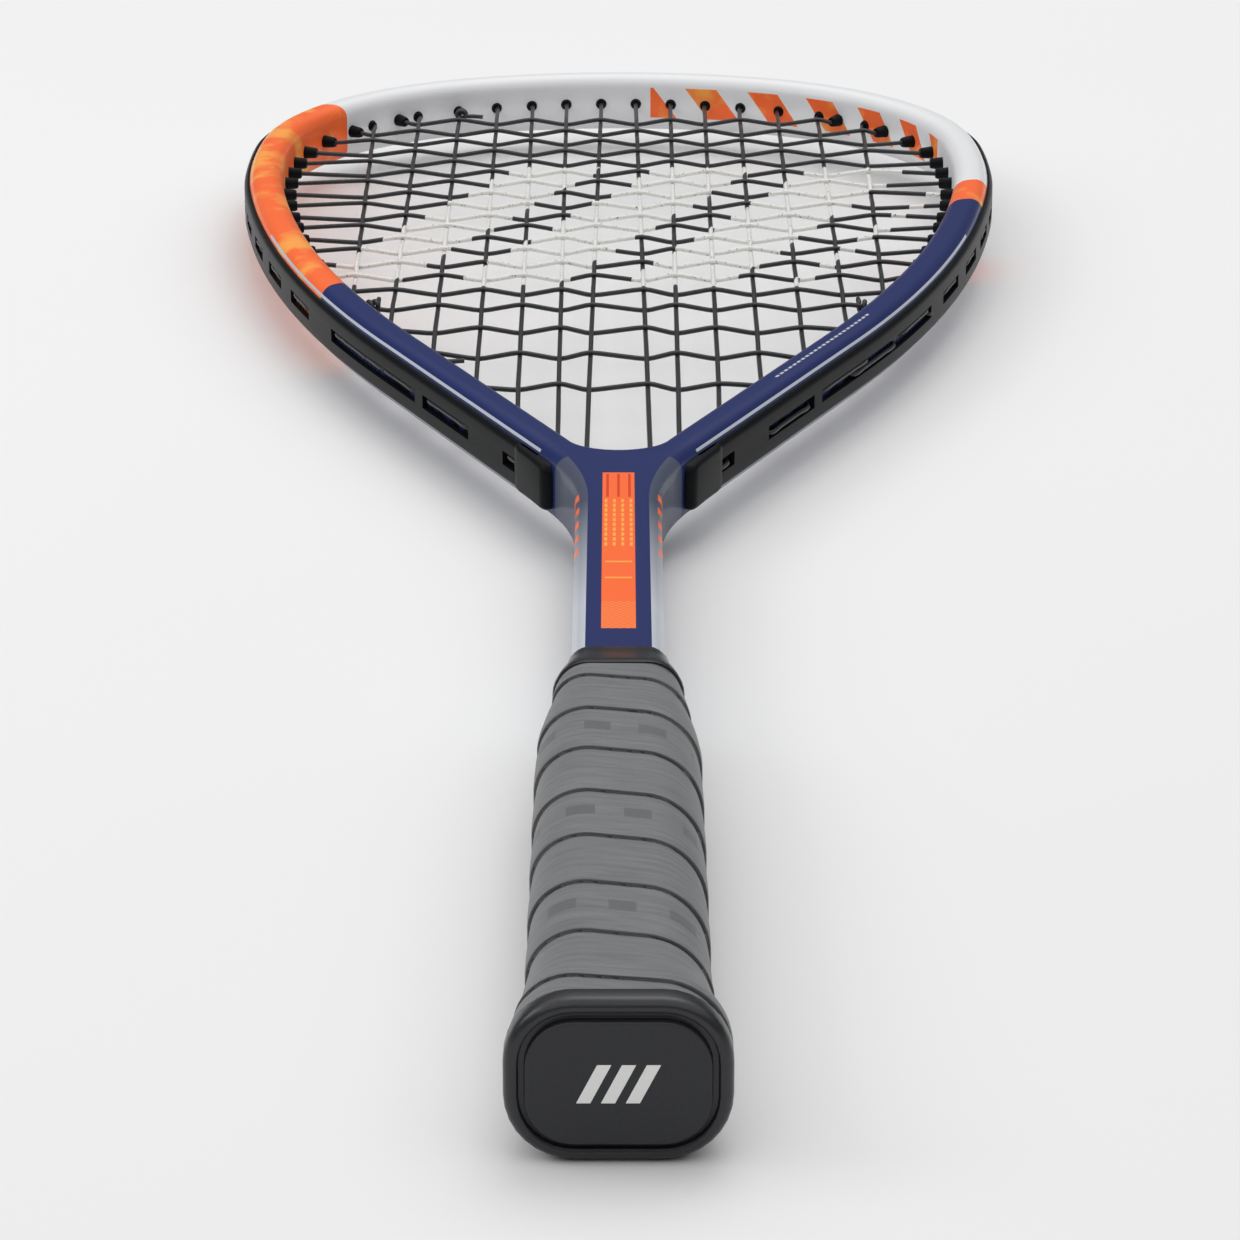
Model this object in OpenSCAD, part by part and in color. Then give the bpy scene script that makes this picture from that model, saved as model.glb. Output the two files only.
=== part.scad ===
// Squash racket: a one-handed racket with a teardrop head, lying in the XY plane.
// The butt face is at Y = 0, the head points along +Y, and the strings lie in the plane Z = 0.

/* [Overall] */
// Length from the butt face to the outside of the bumper
length = 685; // [640:1:700]
// Depth of the frame, square to the strings
beam_h = 16.8; // [15.6:0.2:20.4]
// Width of the frame tube, in the plane of the strings
tube_w = 9.4; // [8.6:0.2:11.4]
// Wall of the frame tube and of the shaft
tube_wall = 1.5; // [1.2:0.1:1.8]
// Radius of the long edges of the frame
edge_r = 3.8; // [3:0.1:4]

/* [Head outline] */
// Radius of the frame's centre line over the tip
tip_r = 130; // [105:1:160]
// Angle that the tip arc turns through, from the long axis
tip_angle = 20.4; // [16:0.2:24]
// Radius of the centre line round each shoulder
shoulder_r = 81; // [72:1:92]
// Angle that each shoulder turns through
shoulder_angle = 64.3; // [62:0.1:66]
// Radius of the centre line at the widest part
side_r = 250; // [200:5:300]
// Angle that each side arc turns through
side_angle = 12.8; // [11:0.1:15]
// Radius of the centre line where the sides run in towards the throat
flank_r = 500; // [420:5:600]
// Angle of each straight leg from the long axis
leg_angle = 25; // [23:0.5:27]
// Radius of the rounded throat, between the legs
throat_r = 10.5; // [8.5:0.5:12.5]

/* [Shaft] */
// Width of the shaft
shaft_w = 18.8; // [16:0.2:22]
// Length of the yoke's plugs inside the legs
plug_l = 9; // [6:0.5:11]
// Length of the yoke's plug inside the shaft
shaft_plug_l = 22; // [15:1:30]
// Glue gap round each plug and each moulded piece
glue_gap = 0.1; // [0.05:0.05:0.2]

/* [Bumper and grommet strips] */
// Height of the strips, square to the strings
strip_h = 11; // [9.4:0.2:11.6]
// Thickness of the strips
strip_t = 2.1; // [1.8:0.1:2.6]
// Thickness of the bumper over the tip
bumper_t = 2.6; // [2.2:0.1:3.2]
// Depth of the channel that the strips sit in
channel_d = 0.7; // [0.4:0.1:0.8]
// Gap between a strip and the side of its channel
channel_gap = 0.1; // [0.05:0.05:0.3]
// Distance from the inside of the tip down to the joint between the bumper and the side strips
bumper_drop = 90.5; // [87:0.5:94]
// Angle of the throat fillet that the tab of a side strip covers
tab_angle = 5.4; // [3:0.2:8]
// Thickness of the tab
tab_t = 3; // [2.4:0.1:3.6]
// Outer diameter of a grommet barrel
barrel_d = 3.6; // [3.2:0.1:4]
// How far a cross string's barrel stands inside the frame
cross_barrel = 3.6; // [2.5:0.1:5]
// How far a main string's barrel stands inside the frame at the legs
leg_barrel = 2; // [1:0.1:3]
// How far a main string's barrel stands inside the frame at the tip
tip_barrel = 0.8; // [0.4:0.1:1.5]
// Gap between a barrel and its hole in the frame
barrel_gap = 0.1; // [0.05:0.05:0.2]
// Depth of the flats that the bent tube and strips are made of
flat_depth = 0.09; // [0.05:0.01:0.15]

/* [Strings] */
// Diameter of the string
string_d = 1.25; // [1.1:0.05:1.35]
// Play of a string in its barrel, on the diameter
string_play = 0.4; // [0.2:0.1:0.6]
// Height of the weave in the main strings, from the middle plane
main_weave = 0.5; // [0.3:0.05:0.6]
// Gap left between two strings where they cross
cross_gap = 0.06; // [0.02:0.02:0.1]
// Distances of the main strings from the long axis at the tip
main_tip_x = [5.2, 15.7, 26, 36.5, 47.8, 59.6, 72.6];
// Distances of the main strings from the long axis at the legs
main_leg_x = [5.4, 14.4, 24.2, 34.6, 46, 57.7, 68.5];
// Distances of the cross strings below the inside of the tip
cross_drop = [23.3, 36.6, 48.4, 61, 73.2, 84.8, 96.1, 108.8, 120.7, 133.5,
              144.2, 156.7, 168.3, 181.6, 194.5, 208.4, 222.7, 243.4, 265.7, 291.8];

/* [Handle] */
// Width of the handle under the grip tape
core_w = 28.3; // [25:0.1:31]
// Depth of the handle under the grip tape
core_h = 22.6; // [21.2:0.1:25]
// Corner radius of the handle
core_r = 9.5; // [7:0.5:10.5]
// Height at which the handle starts to narrow towards the shaft
taper_start = 140; // [120:1:150]
// Height of the top end of the handle
handle_top = 170; // [156:1:180]
// Thickness of the handle's lip at its top end
lip_t = 0.4; // [0.3:0.1:1]
// Thickness of the base grip
grip_t = 1.7; // [1.4:0.1:2.2]
// How far the finishing tape runs on past the top end of the handle
finish_on = 8; // [7:1:24]
// How far the finishing tape laps down over the top end of the handle
finish_lap = 7; // [5:1:12]
// Thickness of the finishing tape
finish_t = 1; // [0.6:0.1:1.4]

/* [Butt cap] */
// Width of the butt cap's rim
cap_w = 37.4; // [34:0.1:42]
// Depth of the butt cap's rim
cap_h = 28.8; // [27:0.1:34]
// Corner radius of the rim
cap_r = 11.5; // [9:0.5:12.5]
// Height of the rim below the grip tape
cap_rim = 6; // [5:0.5:8]
// Height of the top edge of the cap's skirt
cap_top = 27; // [22:1:32]
// Thickness of the cap's floor
cap_floor = 3; // [2.5:0.1:4]
// Width of the groove round the panel on the butt face
cap_groove = 1.2; // [0.8:0.1:1.6]
// Distance of the panel in from the rim
panel_inset = 3.6; // [3:0.1:4.5]

/* [Fasteners] */
// Diameter of the staple and tack wire
wire_d = 1; // [0.8:0.1:1.2]
// Width of a staple
staple_w = 9; // [6:0.5:11]
// Gap between the points of the staples and the shaft
staple_clear = 0.3; // [0.2:0.1:1]
// Length of the tack that holds the start of the grip
tack_l = 6; // [4:0.5:7]
// Diameter of the tack's head
tack_head = 3.2; // [2.4:0.1:4]

/* [Hidden] */
$fn = 96;

half_w = tube_w / 2;
half_h = beam_h / 2;
string_r = string_d / 2;
cross_weave = string_d + cross_gap - main_weave;
strip_in = half_w - channel_d;
groove_floor = half_w + 0.1;
run_offset = groove_floor + string_r + 0.05;
tip_y = length - (bumper_t - channel_d) - half_w;
inner_tip_y = tip_y - half_w;
mains = len(main_tip_x);
crosses = len(cross_drop);
joint_y = inner_tip_y - bumper_drop;

// The head's right half is four arcs, each tangent to the next, and then a straight leg.
arc_r = [tip_r, shoulder_r, side_r, flank_r];
arc_from = [90, 90 - tip_angle, 90 - tip_angle - shoulder_angle,
            90 - tip_angle - shoulder_angle - side_angle];
arc_to = [arc_from[1], arc_from[2], arc_from[3], -leg_angle];
function polar(a) = [cos(a), sin(a)];
function arc_centre(i) = i == 0 ? [0, tip_y - tip_r]
    : arc_centre(i - 1) + (arc_r[i - 1] - arc_r[i]) * polar(arc_from[i]);
centres = [for (i = [0:3]) arc_centre(i)];
leg_start = centres[3] + flank_r * polar(-leg_angle);
leg_out = polar(-leg_angle);
leg_down = [-sin(leg_angle), -cos(leg_angle)];

// Stations measure length along the centre line from the tip.
function arc_l(i) = (arc_from[i] - arc_to[i]) * PI / 180 * arc_r[i];
function arc_start(i) = i == 0 ? 0 : arc_start(i - 1) + arc_l(i - 1);
starts = [for (i = [0:4]) arc_start(i)];
function arc_at(s) = s >= starts[3] ? 3 : s >= starts[2] ? 2 : s >= starts[1] ? 1 : 0;
function throat_turn(s) = (s - yoke_s) / fillet_r * 180 / PI;
function facing(s) = s > yoke_s ? throat_turn(s) - leg_angle
    : s >= starts[4] ? -leg_angle
    : let (i = arc_at(s)) arc_from[i] - (s - starts[i]) / arc_r[i] * 180 / PI;
function place(s, off) = s > yoke_s
    ? [fillet_x, fillet_y] - (fillet_r + half_w - off) * polar(facing(s))
    : s >= starts[4] ? leg_start + (s - starts[4]) * leg_down + off * leg_out
    : let (i = arc_at(s)) centres[i] + (arc_r[i] + off) * polar(facing(s));

// Both halves: a negative station is on the left. The steps keep the flats within a set depth.
function placed(s, q) = let (p = place(abs(s), q[0])) [s < 0 ? -p[0] : p[0], p[1], q[1]];
function step_l(i) = 2 * arc_r[i] * PI / 180 * acos(1 - flat_depth / arc_r[i]);
function steps(from, to) = concat(
    from < 0 ? [from] : [],
    [for (i = [0:3])
        let (a = max(from, starts[i]), b = min(to, starts[i + 1]), n = ceil((b - a) / step_l(i)))
        if (b > a + 1e-6) each [for (k = [0:n - 1]) a + (b - a) * k / n]],
    from < starts[4] && to > starts[4] ? [starts[4]] : [],
    to > yoke_s ? [max(from, yoke_s)] : [], [to]);
function mirrored_steps(to) = let (s = steps(0, to))
    concat([for (i = [len(s) - 1:-1:1]) -s[i]], s);

// Stations where a line inside the frame, off from the centre line, reaches a given Y or X.
function on_arc(a, i) = a <= arc_from[i] + 1e-6 && a > arc_to[i];
function to_station(a, i) = starts[i] + (arc_from[i] - a) * PI / 180 * arc_r[i];
function first(list) = len(list) > 0 ? list[0] : undef;
function arc_hit_y(y, off) = first([for (i = [0:3])
    let (k = (y - centres[i][1]) / (arc_r[i] + off))
    if (abs(k) <= 1 && on_arc(asin(k), i)) to_station(asin(k), i)]);
function arc_hit_x(x, off, side) = first([for (i = [0:3])
    let (k = (x - centres[i][0]) / (arc_r[i] + off))
    if (abs(k) <= 1 && on_arc(side * acos(k), i)) to_station(side * acos(k), i)]);
function leg_hit_y(y, off) = starts[4]
    + (y - leg_start[1] - off * leg_out[1]) / leg_down[1];
function leg_hit_x(x, off) = starts[4]
    + (x - leg_start[0] - off * leg_out[0]) / leg_down[0];
function station_y(y, off) = let (s = arc_hit_y(y, off)) s == undef ? leg_hit_y(y, off) : s;
function station_top(x, off) = arc_hit_x(x, off, 1);
function station_low(x, off) = let (s = arc_hit_x(x, off, -1)) s == undef ? leg_hit_x(x, off) : s;

// Every hole is drilled square to the tube. Each list holds the right side's stations.
cross_y = [for (d = cross_drop) inner_tip_y - d];
cross_s = [for (y = cross_y) station_y(y, -half_w - cross_barrel)];
tip_s = [for (x = main_tip_x) station_top(x, -half_w - tip_barrel)];
leg_s = [for (x = main_leg_x) station_low(x, -half_w - leg_barrel)];
joint_s = station_y(joint_y, 0);

// The yoke: its fillets end where the throat arc does, so both legs leave it square.
leg_meet_y = leg_start[1] - leg_start[0] / tan(leg_angle);
throat_y = leg_meet_y + (half_w + throat_r) / sin(leg_angle);
yoke_l = half_w / tan(leg_angle) + throat_r / tan(leg_angle);
fillet_vertex_y = leg_meet_y + shaft_w / 2 / tan(leg_angle) - half_w / sin(leg_angle);
fillet_vertex_l = shaft_w / 2 * sin(leg_angle) + (fillet_vertex_y - leg_meet_y) * cos(leg_angle);
fillet_l = yoke_l - fillet_vertex_l;
fillet_r = fillet_l / tan(leg_angle / 2);
fillet_x = shaft_w / 2 + fillet_r;
fillet_y = fillet_vertex_y - fillet_l;
yoke_s = starts[4] + norm([leg_start[0], leg_start[1] - leg_meet_y]) - yoke_l;
tab_s = yoke_s + tab_angle * PI / 180 * fillet_r;

module both_sides() {
    children();
    mirror([1, 0, 0]) children();
}

// Flat sections: X is the distance out from the frame's centre line and Y is the height.
module rounded(w, h, r) {
    square([w - 2 * r, h], center = true);
    square([w, h - 2 * r], center = true);
    for (x = [-1, 1], y = [-1, 1])
        translate([x * (w / 2 - r), y * (h / 2 - r)]) circle(r);
}

// Sections of the bent pieces, as points [distance out, height] in order round the section.
function corner(cx, cz, r, angles) = [for (a = angles) [cx + r * cos(a), cz + r * sin(a)]];
function tube_outside() = let (h = strip_h / 2 + channel_gap,
        over = max(0.01, h - half_h + edge_r), lip = asin(over / edge_r),
        x = half_w - edge_r, z = half_h - edge_r)
    concat([[strip_in, -h], [strip_in, h]],
           corner(x, z, edge_r, [lip, 50, 90]), corner(-x, z, edge_r, [90, 135, 180]),
           corner(-x, -z, edge_r, [180, 225, 270]), corner(x, -z, edge_r, [270, 310, 360 - lip]));
function tube_inside() = let (r = edge_r - tube_wall, z = half_h - edge_r,
        x1 = strip_in - tube_wall - r, x0 = -half_w + edge_r)
    concat([[x1 + r, -z / 2], [x1 + r, z / 2]],
           corner(x1, z, r, [0, 45, 90]), corner(x0, z, r, [90, 135, 180]),
           corner(x0, -z, r, [180, 225, 270]), corner(x1, -z, r, [270, 315, 360]));
function strip_section(t) = let (bevel = 0.8, h = strip_h / 2)
    [[strip_in, -h], [strip_in + t - bevel, -h], [strip_in + t, -h + 2 * bevel],
     [strip_in + t, h - 2 * bevel], [strip_in + t - bevel, h], [strip_in, h]];
function block_section(from, to, h) = [[from, -h / 2], [to, -h / 2], [to, h / 2], [from, h / 2]];

function quads(n, rows, first, flip) = [for (i = [0:rows - 2], k = [0:n - 1])
    let (a = first + i * n + k, b = first + i * n + (k + 1) % n)
    flip ? [a, b, b + n, a + n] : [a, a + n, b + n, b]];

// A solid bar along the frame. The section may change from one station to the next.
module frame_bar(stations, section_at) {
    n = len(section_at(stations[0]));
    rows = len(stations);
    points = [for (s = stations) each [for (q = section_at(s)) placed(s, q)]];
    ends = [[for (k = [0:n - 1]) k], [for (k = [n - 1:-1:0]) (rows - 1) * n + k]];
    polyhedron(points, concat(quads(n, rows, 0, false), ends), convexity = 10);
}

// A hollow tube along the frame, open at both ends.
module frame_pipe(stations, outside, inside) {
    n = len(outside);
    rows = len(stations);
    half = n * rows;
    points = concat([for (s = stations) each [for (q = outside) placed(s, q)]],
                    [for (s = stations) each [for (q = inside) placed(s, q)]]);
    ends = [for (k = [0:n - 1]) each let (m = (k + 1) % n, z = (rows - 1) * n)
        [[k, m, half + m, half + k], [z + m, z + k, half + z + k, half + z + m]]];
    polyhedron(points, concat(quads(n, rows, 0, false), quads(n, rows, half, true), ends),
               convexity = 10);
}

module channel_section() {
    translate([strip_in, -strip_h / 2 - channel_gap])
        square([channel_d + 1, strip_h + 2 * channel_gap]);
}

// Sweeps a flat section down the outside of the throat, from the end of the right leg.
module along_throat(angle) {
    translate([fillet_x, fillet_y]) rotate(180 - leg_angle)
        rotate_extrude(angle = angle, $fn = 240)
            translate([fillet_r + half_w, 0]) mirror([1, 0]) children();
}

// A round bar square to the tube at a station, between two distances from the centre line.
module bar(s, r, from, to) {
    translate(place(s, from)) rotate([0, 90, facing(s)]) cylinder(r = r, h = to - from, $fn = 32);
}

module grommet_holes() {
    for (s = concat(cross_s, tip_s, leg_s))
        bar(s, barrel_d / 2 + barrel_gap, -half_w - 3, half_w + 2);
}

module barrels(list, stand) {
    tip_l = 0.9;
    r = barrel_d / 2;
    l = half_w + stand + strip_in + 0.3;
    for (s = list) translate(place(s, -half_w - stand)) rotate([0, 90, facing(s)])
        rotate_extrude($fn = 32) polygon([[0, 0], [r - 0.5, 0], [r, tip_l], [r, l], [0, l]]);
}

module string_bores(list) {
    for (s = list) bar(s, (string_d + string_play) / 2, -half_w - 6, half_w + 6);
}

module hoop_tube() {
    color("#27356b") difference() {
        frame_pipe(mirrored_steps(yoke_s), tube_outside(), tube_inside());
        both_sides() grommet_holes();
    }
}

// What is left outside a rounded edge: it cuts the yoke's sides to the tube's own shape.
module edge_cutter(r) {
    translate([0, -half_h - 1]) square([r, beam_h + 2]);
    for (side = [0, 1]) mirror([0, side]) difference() {
        translate([r - 0.01, half_h - edge_r]) square([edge_r + 0.01, edge_r + 1]);
        translate([r + edge_r, half_h - edge_r]) circle(edge_r);
    }
}

module yoke_block() {
    end = yoke_l * -leg_down;
    across = half_w * leg_out;
    base = [0, leg_meet_y];
    outer = base + end + across;
    inner = base + end - across;
    linear_extrude(beam_h, center = true)
        polygon([[outer[0], fillet_y], outer, inner, [0, throat_y], [-inner[0], inner[1]], [-outer[0], outer[1]],
                 [-outer[0], fillet_y]]);
}

module throat_yoke() {
    clear = glue_gap + tube_wall;
    color("#27356b") difference() {
        union() {
            difference() {
                yoke_block();
                translate([0, throat_y]) rotate_extrude($fn = 120) edge_cutter(throat_r);
                both_sides() translate([fillet_x, fillet_y])
                    rotate_extrude($fn = 360) edge_cutter(fillet_r);
            }
            both_sides() translate(place(yoke_s - plug_l, 0)) rotate([90, 0, -leg_angle])
                linear_extrude(plug_l + 2)
                    rounded(tube_w - 2 * clear, beam_h - 2 * clear, edge_r - tube_wall);
            translate([0, fillet_y + 2]) rotate([90, 0, 0]) linear_extrude(shaft_plug_l + 2)
                rounded(shaft_w - 2 * clear, beam_h - 2 * clear, edge_r - tube_wall);
        }
        translate([0, fillet_y + 22]) rotate([90, 0, 0]) linear_extrude(shaft_plug_l + 30)
            rounded(shaft_w - 4 * clear, beam_h - 4 * clear, 1.2);
        both_sides() bar(leg_s[0], barrel_d / 2 + barrel_gap, -half_w - 6, half_w + 4);
        both_sides() along_throat(tab_angle + 0.2) channel_section();
    }
}

module shaft_tube() {
    color("#27356b") translate([0, fillet_y]) rotate([90, 0, 0])
        linear_extrude(fillet_y - cap_floor - glue_gap) difference() {
            rounded(shaft_w, beam_h, edge_r);
            rounded(shaft_w - 2 * tube_wall, beam_h - 2 * tube_wall, edge_r - tube_wall);
        }
}

// Right-hand stations of the runs that the strings make outside the frame.
main_leg_runs = [for (i = [0:2:mains - 2]) [leg_s[i + 1], leg_s[i]]];
main_tip_runs = [for (i = [1:2:mains - 2]) [tip_s[i], tip_s[i + 1]]];
tip_runs = concat([[-barrel_d, tip_s[0]]], main_tip_runs);
right_cross_runs = [for (i = [0:2:crosses - 2]) [cross_s[i], cross_s[i + 1]]];
left_cross_runs = [for (i = [1:2:crosses - 3]) [cross_s[i], cross_s[i + 1]]];
start_run = [tip_s[4], cross_s[0]];
end_run = [leg_s[4], cross_s[crosses - 1]];
main_end_run = [leg_s[mains - 1], cross_s[crosses - 4]];

// Runs that overlap share one groove, so they are sorted and merged first.
function sorted(runs) = len(runs) < 2 ? runs
    : let (k = min(runs[0]))
        concat(sorted([for (i = [1:len(runs) - 1]) if (min(runs[i]) < k) runs[i]]), [runs[0]],
               sorted([for (i = [1:len(runs) - 1]) if (min(runs[i]) >= k) runs[i]]));
function merged(runs) = len(runs) < 2 ? runs
    : runs[1][0] < runs[0][1] + 2
        ? merged(concat([[runs[0][0], max(runs[0][1], runs[1][1])]],
                        [for (i = [2:1:len(runs) - 1]) runs[i]]))
        : concat([runs[0]], merged([for (i = [1:len(runs) - 1]) runs[i]]));
function groove_spans(runs) = let (r = barrel_d / 2)
    merged([for (s = sorted(runs)) [max(-0.2, min(s) - r), max(s) + r]]);

module grooves(runs) {
    groove_h = 3.2;
    for (span = groove_spans(runs))
        frame_bar(steps(span[0], span[1]),
                  function(s) block_section(groove_floor, half_w + 4, groove_h));
}

function below(list) = [for (s = list) if (s > joint_s) s];
function above(list) = [for (s = list) if (s <= joint_s) s];
function runs_below(list) = [for (r = list) if (min(r) > joint_s) r];
function runs_above(list) = [for (r = list) if (max(r) <= joint_s) r];

module grommet_strip(cross_runs, extra) {
    gap = 0.3;
    difference() {
        union() {
            frame_bar(steps(joint_s + gap, tab_s),
                      function(s) strip_section(s > yoke_s - 1e-6 ? tab_t : strip_t));
            barrels(below(cross_s), cross_barrel);
            barrels([for (i = [1:mains - 1]) leg_s[i]], leg_barrel);
            barrels([leg_s[0]], 0.6);
        }
        string_bores(concat(below(cross_s), leg_s));
        grooves(concat(runs_below(cross_runs), main_leg_runs, [main_end_run], extra));
    }
}

module grommet_strip_right() {
    color("#26292b") grommet_strip(right_cross_runs, []);
}

module grommet_strip_left() {
    color("#26292b") mirror([1, 0, 0]) grommet_strip(left_cross_runs, [end_run]);
}

module bumper_guard() {
    color("#26292b") difference() {
        union() {
            frame_bar(mirrored_steps(joint_s),
                      function(s) strip_section(joint_s - abs(s) < 1 ? strip_t : bumper_t));
            both_sides() barrels(above(cross_s), cross_barrel);
            both_sides() barrels(tip_s, tip_barrel);
        }
        both_sides() string_bores(concat(above(cross_s), tip_s));
        grooves(concat(tip_runs, runs_above(right_cross_runs)));
        mirror([1, 0, 0]) grooves(concat(tip_runs, runs_above(left_cross_runs), [start_run]));
    }
}

// A string is one tube swept along its own route.
function unit(v) = v / norm(v);
function square_to(u, t) = unit(u - (u * t) * t);
function tangents(p) = [for (i = [0:len(p) - 1])
    unit(p[min(i + 1, len(p) - 1)] - p[max(i - 1, 0)])];
function rings(p, r, n) = let (t = tangents(p))
    [for (i = 0, u = square_to([0, 0, 1], t[0]); i < len(p);
          i = i + 1, u = i < len(p) ? square_to(u, t[i]) : u)
        for (k = [0:n - 1]) p[i] + r * (cos(360 * k / n) * u + sin(360 * k / n) * cross(t[i], u))];

module swept(p, r, n) {
    last = len(p) - 1;
    sides = [for (i = [0:last - 1], k = [0:n - 1])
        [i * n + k, (i + 1) * n + k, (i + 1) * n + (k + 1) % n, i * n + (k + 1) % n]];
    ends = [[for (k = [0:n - 1]) k], [for (k = [n - 1:-1:0]) last * n + k]];
    polyhedron(rings(p, r, n), concat(sides, ends), convexity = 10);
}

// Rounds each sharp corner of a route with two more points.
function bent(p, i) = let (a = unit(p[i] - p[i - 1]), b = unit(p[i + 1] - p[i])) a * b < 0.9;
function eased(p, r) = [for (i = [0:len(p) - 1])
    if (i == 0 || i == len(p) - 1 || !bent(p, i)) p[i]
    else each let (a = p[i] - r * unit(p[i] - p[i - 1]), b = p[i] + r * unit(p[i + 1] - p[i]))
        [a, (a + 2 * p[i] + b) / 4, b]];
function reversed(p) = [for (i = [len(p) - 1:-1:0]) p[i]];
function flat(v, z = 0) = [v[0], v[1], z];

// The run outside the frame from one station to another, with the hole at each end.
function run_points(a, b, z) = let (n = ceil(abs(b - a) / 9))
    [for (k = [0:n]) flat(place(a + (b - a) * k / n, run_offset), z)];
function mouth(s, stand) = flat(place(s, -half_w - stand - 0.2));
function hole_end(s) = flat(place(s, groove_floor - 0.3));
function loop(a, stand_a, b, stand_b, z) = concat(
    [mouth(a, stand_a), hole_end(a)], run_points(a, b, z), [hole_end(b), mouth(b, stand_b)]);

// Where main string i of the right half is at height y, and which side of cross j it passes.
function main_x(i, y) = let (top = mouth(tip_s[i], tip_barrel), low = mouth(leg_s[i], leg_barrel))
    low[0] + (top[0] - low[0]) * (y - low[1]) / (top[1] - low[1]);
function over(i, j) = (i + j) % 2 == 0 ? 1 : -1;
function main_bed(i) = [for (j = [0:crosses - 1])
    if (cross_y[j] > mouth(leg_s[i], leg_barrel)[1] + 3
        && cross_y[j] < mouth(tip_s[i], tip_barrel)[1] - 3)
        [main_x(i, cross_y[j]), cross_y[j], over(i, j) * main_weave]];

// A knot: the end winds twice round the string it is tied to, and its tail lies beside the bed's
// own strings.
function knot(at, along, away, turn) = let (r = string_d * 1.05, side = cross(along, away))
    concat([for (k = [0:12]) let (a = k * 60)
        at + along * (k * string_d * 0.19) + r * (cos(a) * away + turn * sin(a) * side)],
        [at + along * (2.6 * string_d + 0.6) + (r + 2.5) * away,
         at + along * (2.6 * string_d + 1.4) + (r + 5) * away]);

run_z = string_r + 0.1;
function half_main() = concat(
    [for (k = [0, 0.4, 1]) flat(place(tip_s[0] * k, run_offset), -run_z * k)],
    [hole_end(tip_s[0]), mouth(tip_s[0], tip_barrel)],
    [for (i = [0:mains - 1]) each concat(
        i % 2 == 0 ? main_bed(i) : reversed(main_bed(i)),
        i == mains - 1 ? loop(leg_s[i], leg_barrel, cross_s[crosses - 4], cross_barrel, -run_z)
        : i % 2 == 0 ? loop(leg_s[i], leg_barrel, leg_s[i + 1], leg_barrel, -run_z)
        : loop(tip_s[i], tip_barrel, tip_s[i + 1], tip_barrel, -run_z))]);

function turned(p) = [for (v = p) [-v[0], v[1], -v[2]]];

module main_string() {
    half = half_main();
    tail_at = cross_s[crosses - 4];
    tied = knot(mouth(tail_at, cross_barrel + 1.6), -flat(polar(facing(tail_at))),
                flat(polar(facing(tail_at) + 90)), 1);
    whole = concat(half, tied);
    route = eased(concat(reversed(turned(whole)), [for (i = [1:len(whole) - 1]) whole[i]]), 1.1);
    color("#17181a") swept(route, string_r, 6);
}

// Cross string j, from the left barrel's mouth to the right one's.
function cross_bed(j) = [for (c = [-mains:mains]) if (c != 0)
    let (i = abs(c) - 1, x = main_x(i, cross_y[j]), edge = mouth(cross_s[j], cross_barrel)[0])
    if (x < edge - 2) [sign(c) * x, cross_y[j], -sign(c) * over(i, j) * cross_weave]];
function left(p) = [for (v = p) [-v[0], v[1], v[2]]];
function cross_route() = concat(
    reversed(left(knot(mouth(tip_s[4], tip_barrel + 1.6), [0, -1, 0], [-1, 0, 0], 1))),
    left(loop(tip_s[4], tip_barrel, cross_s[0], cross_barrel, run_z)),
    [for (j = [0:crosses - 1]) each concat(
        j % 2 == 0 ? cross_bed(j) : reversed(cross_bed(j)),
        j == crosses - 1 ? left(loop(cross_s[j], cross_barrel, leg_s[4], leg_barrel, run_z))
        : j % 2 == 0 ? loop(cross_s[j], cross_barrel, cross_s[j + 1], cross_barrel, run_z)
        : left(loop(cross_s[j], cross_barrel, cross_s[j + 1], cross_barrel, run_z)))],
    left(knot(mouth(leg_s[4], leg_barrel + 1.6), [0, 1, 0], [-1, 0, 0], 1)));

module cross_string() {
    color("#17181a") swept(eased(cross_route(), 1.1), string_r, 6);
}

// Rounded outlines round the handle's axis, at height y, and solids lofted through them.
corner_steps = 5;
function outline(y, w, h, r) = [for (q = [0:3], k = [0:corner_steps - 1])
    let (a = 90 * q + 90 * k / (corner_steps - 1), cx = w / 2 - r, cz = h / 2 - r)
    [(q == 0 || q == 3 ? cx : -cx) + r * cos(a), y, (q < 2 ? cz : -cz) + r * sin(a)]];

module lofted(stations, ring = false) {
    n = 4 * corner_steps;
    last = len(stations) - 1;
    points = [for (s = stations) each outline(s[0], s[1], s[2], s[3])];
    sides = [for (i = [0:ring ? last : last - 1], k = [0:n - 1])
        let (j = (i + 1) % (last + 1), m = (k + 1) % n, a = i * n + k, c = j * n + m)
        each [[a, c, j * n + k], [a, i * n + m, c]]];
    ends = [[for (k = [n - 1:-1:0]) k], [for (k = [0:n - 1]) last * n + k]];
    polyhedron(points, ring ? sides : concat(sides, ends), convexity = 6);
}

lip_w = shaft_w + 2 * lip_t;
lip_h = beam_h + 2 * lip_t;
function grown(s, t) = [s[0], s[1] + 2 * t, s[2] + 2 * t, s[3] + t];
handle_stations = [[cap_floor + glue_gap, core_w, core_h, core_r],
                   [taper_start - 6, core_w, core_h, core_r],
                   [taper_start + 2, core_w - 0.8, core_h - 0.5, core_r],
                   [handle_top, lip_w, lip_h, edge_r + lip_t]];

module pallet(side) {
    split_gap = 0.1;
    far = length;
    color("#d9cfae") difference() {
        lofted(handle_stations);
        translate([0, handle_top + 1]) rotate([90, 0, 0]) linear_extrude(handle_top + 2)
            rounded(shaft_w + 2 * glue_gap, beam_h + 2 * glue_gap, edge_r);
        translate([side > 0 ? split_gap / 2 - far : -split_gap / 2, -far / 2, -far / 2])
            cube(far);
        staple_and_tack_holes();
    }
}

module pallet_right() {
    pallet(1);
}

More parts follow.
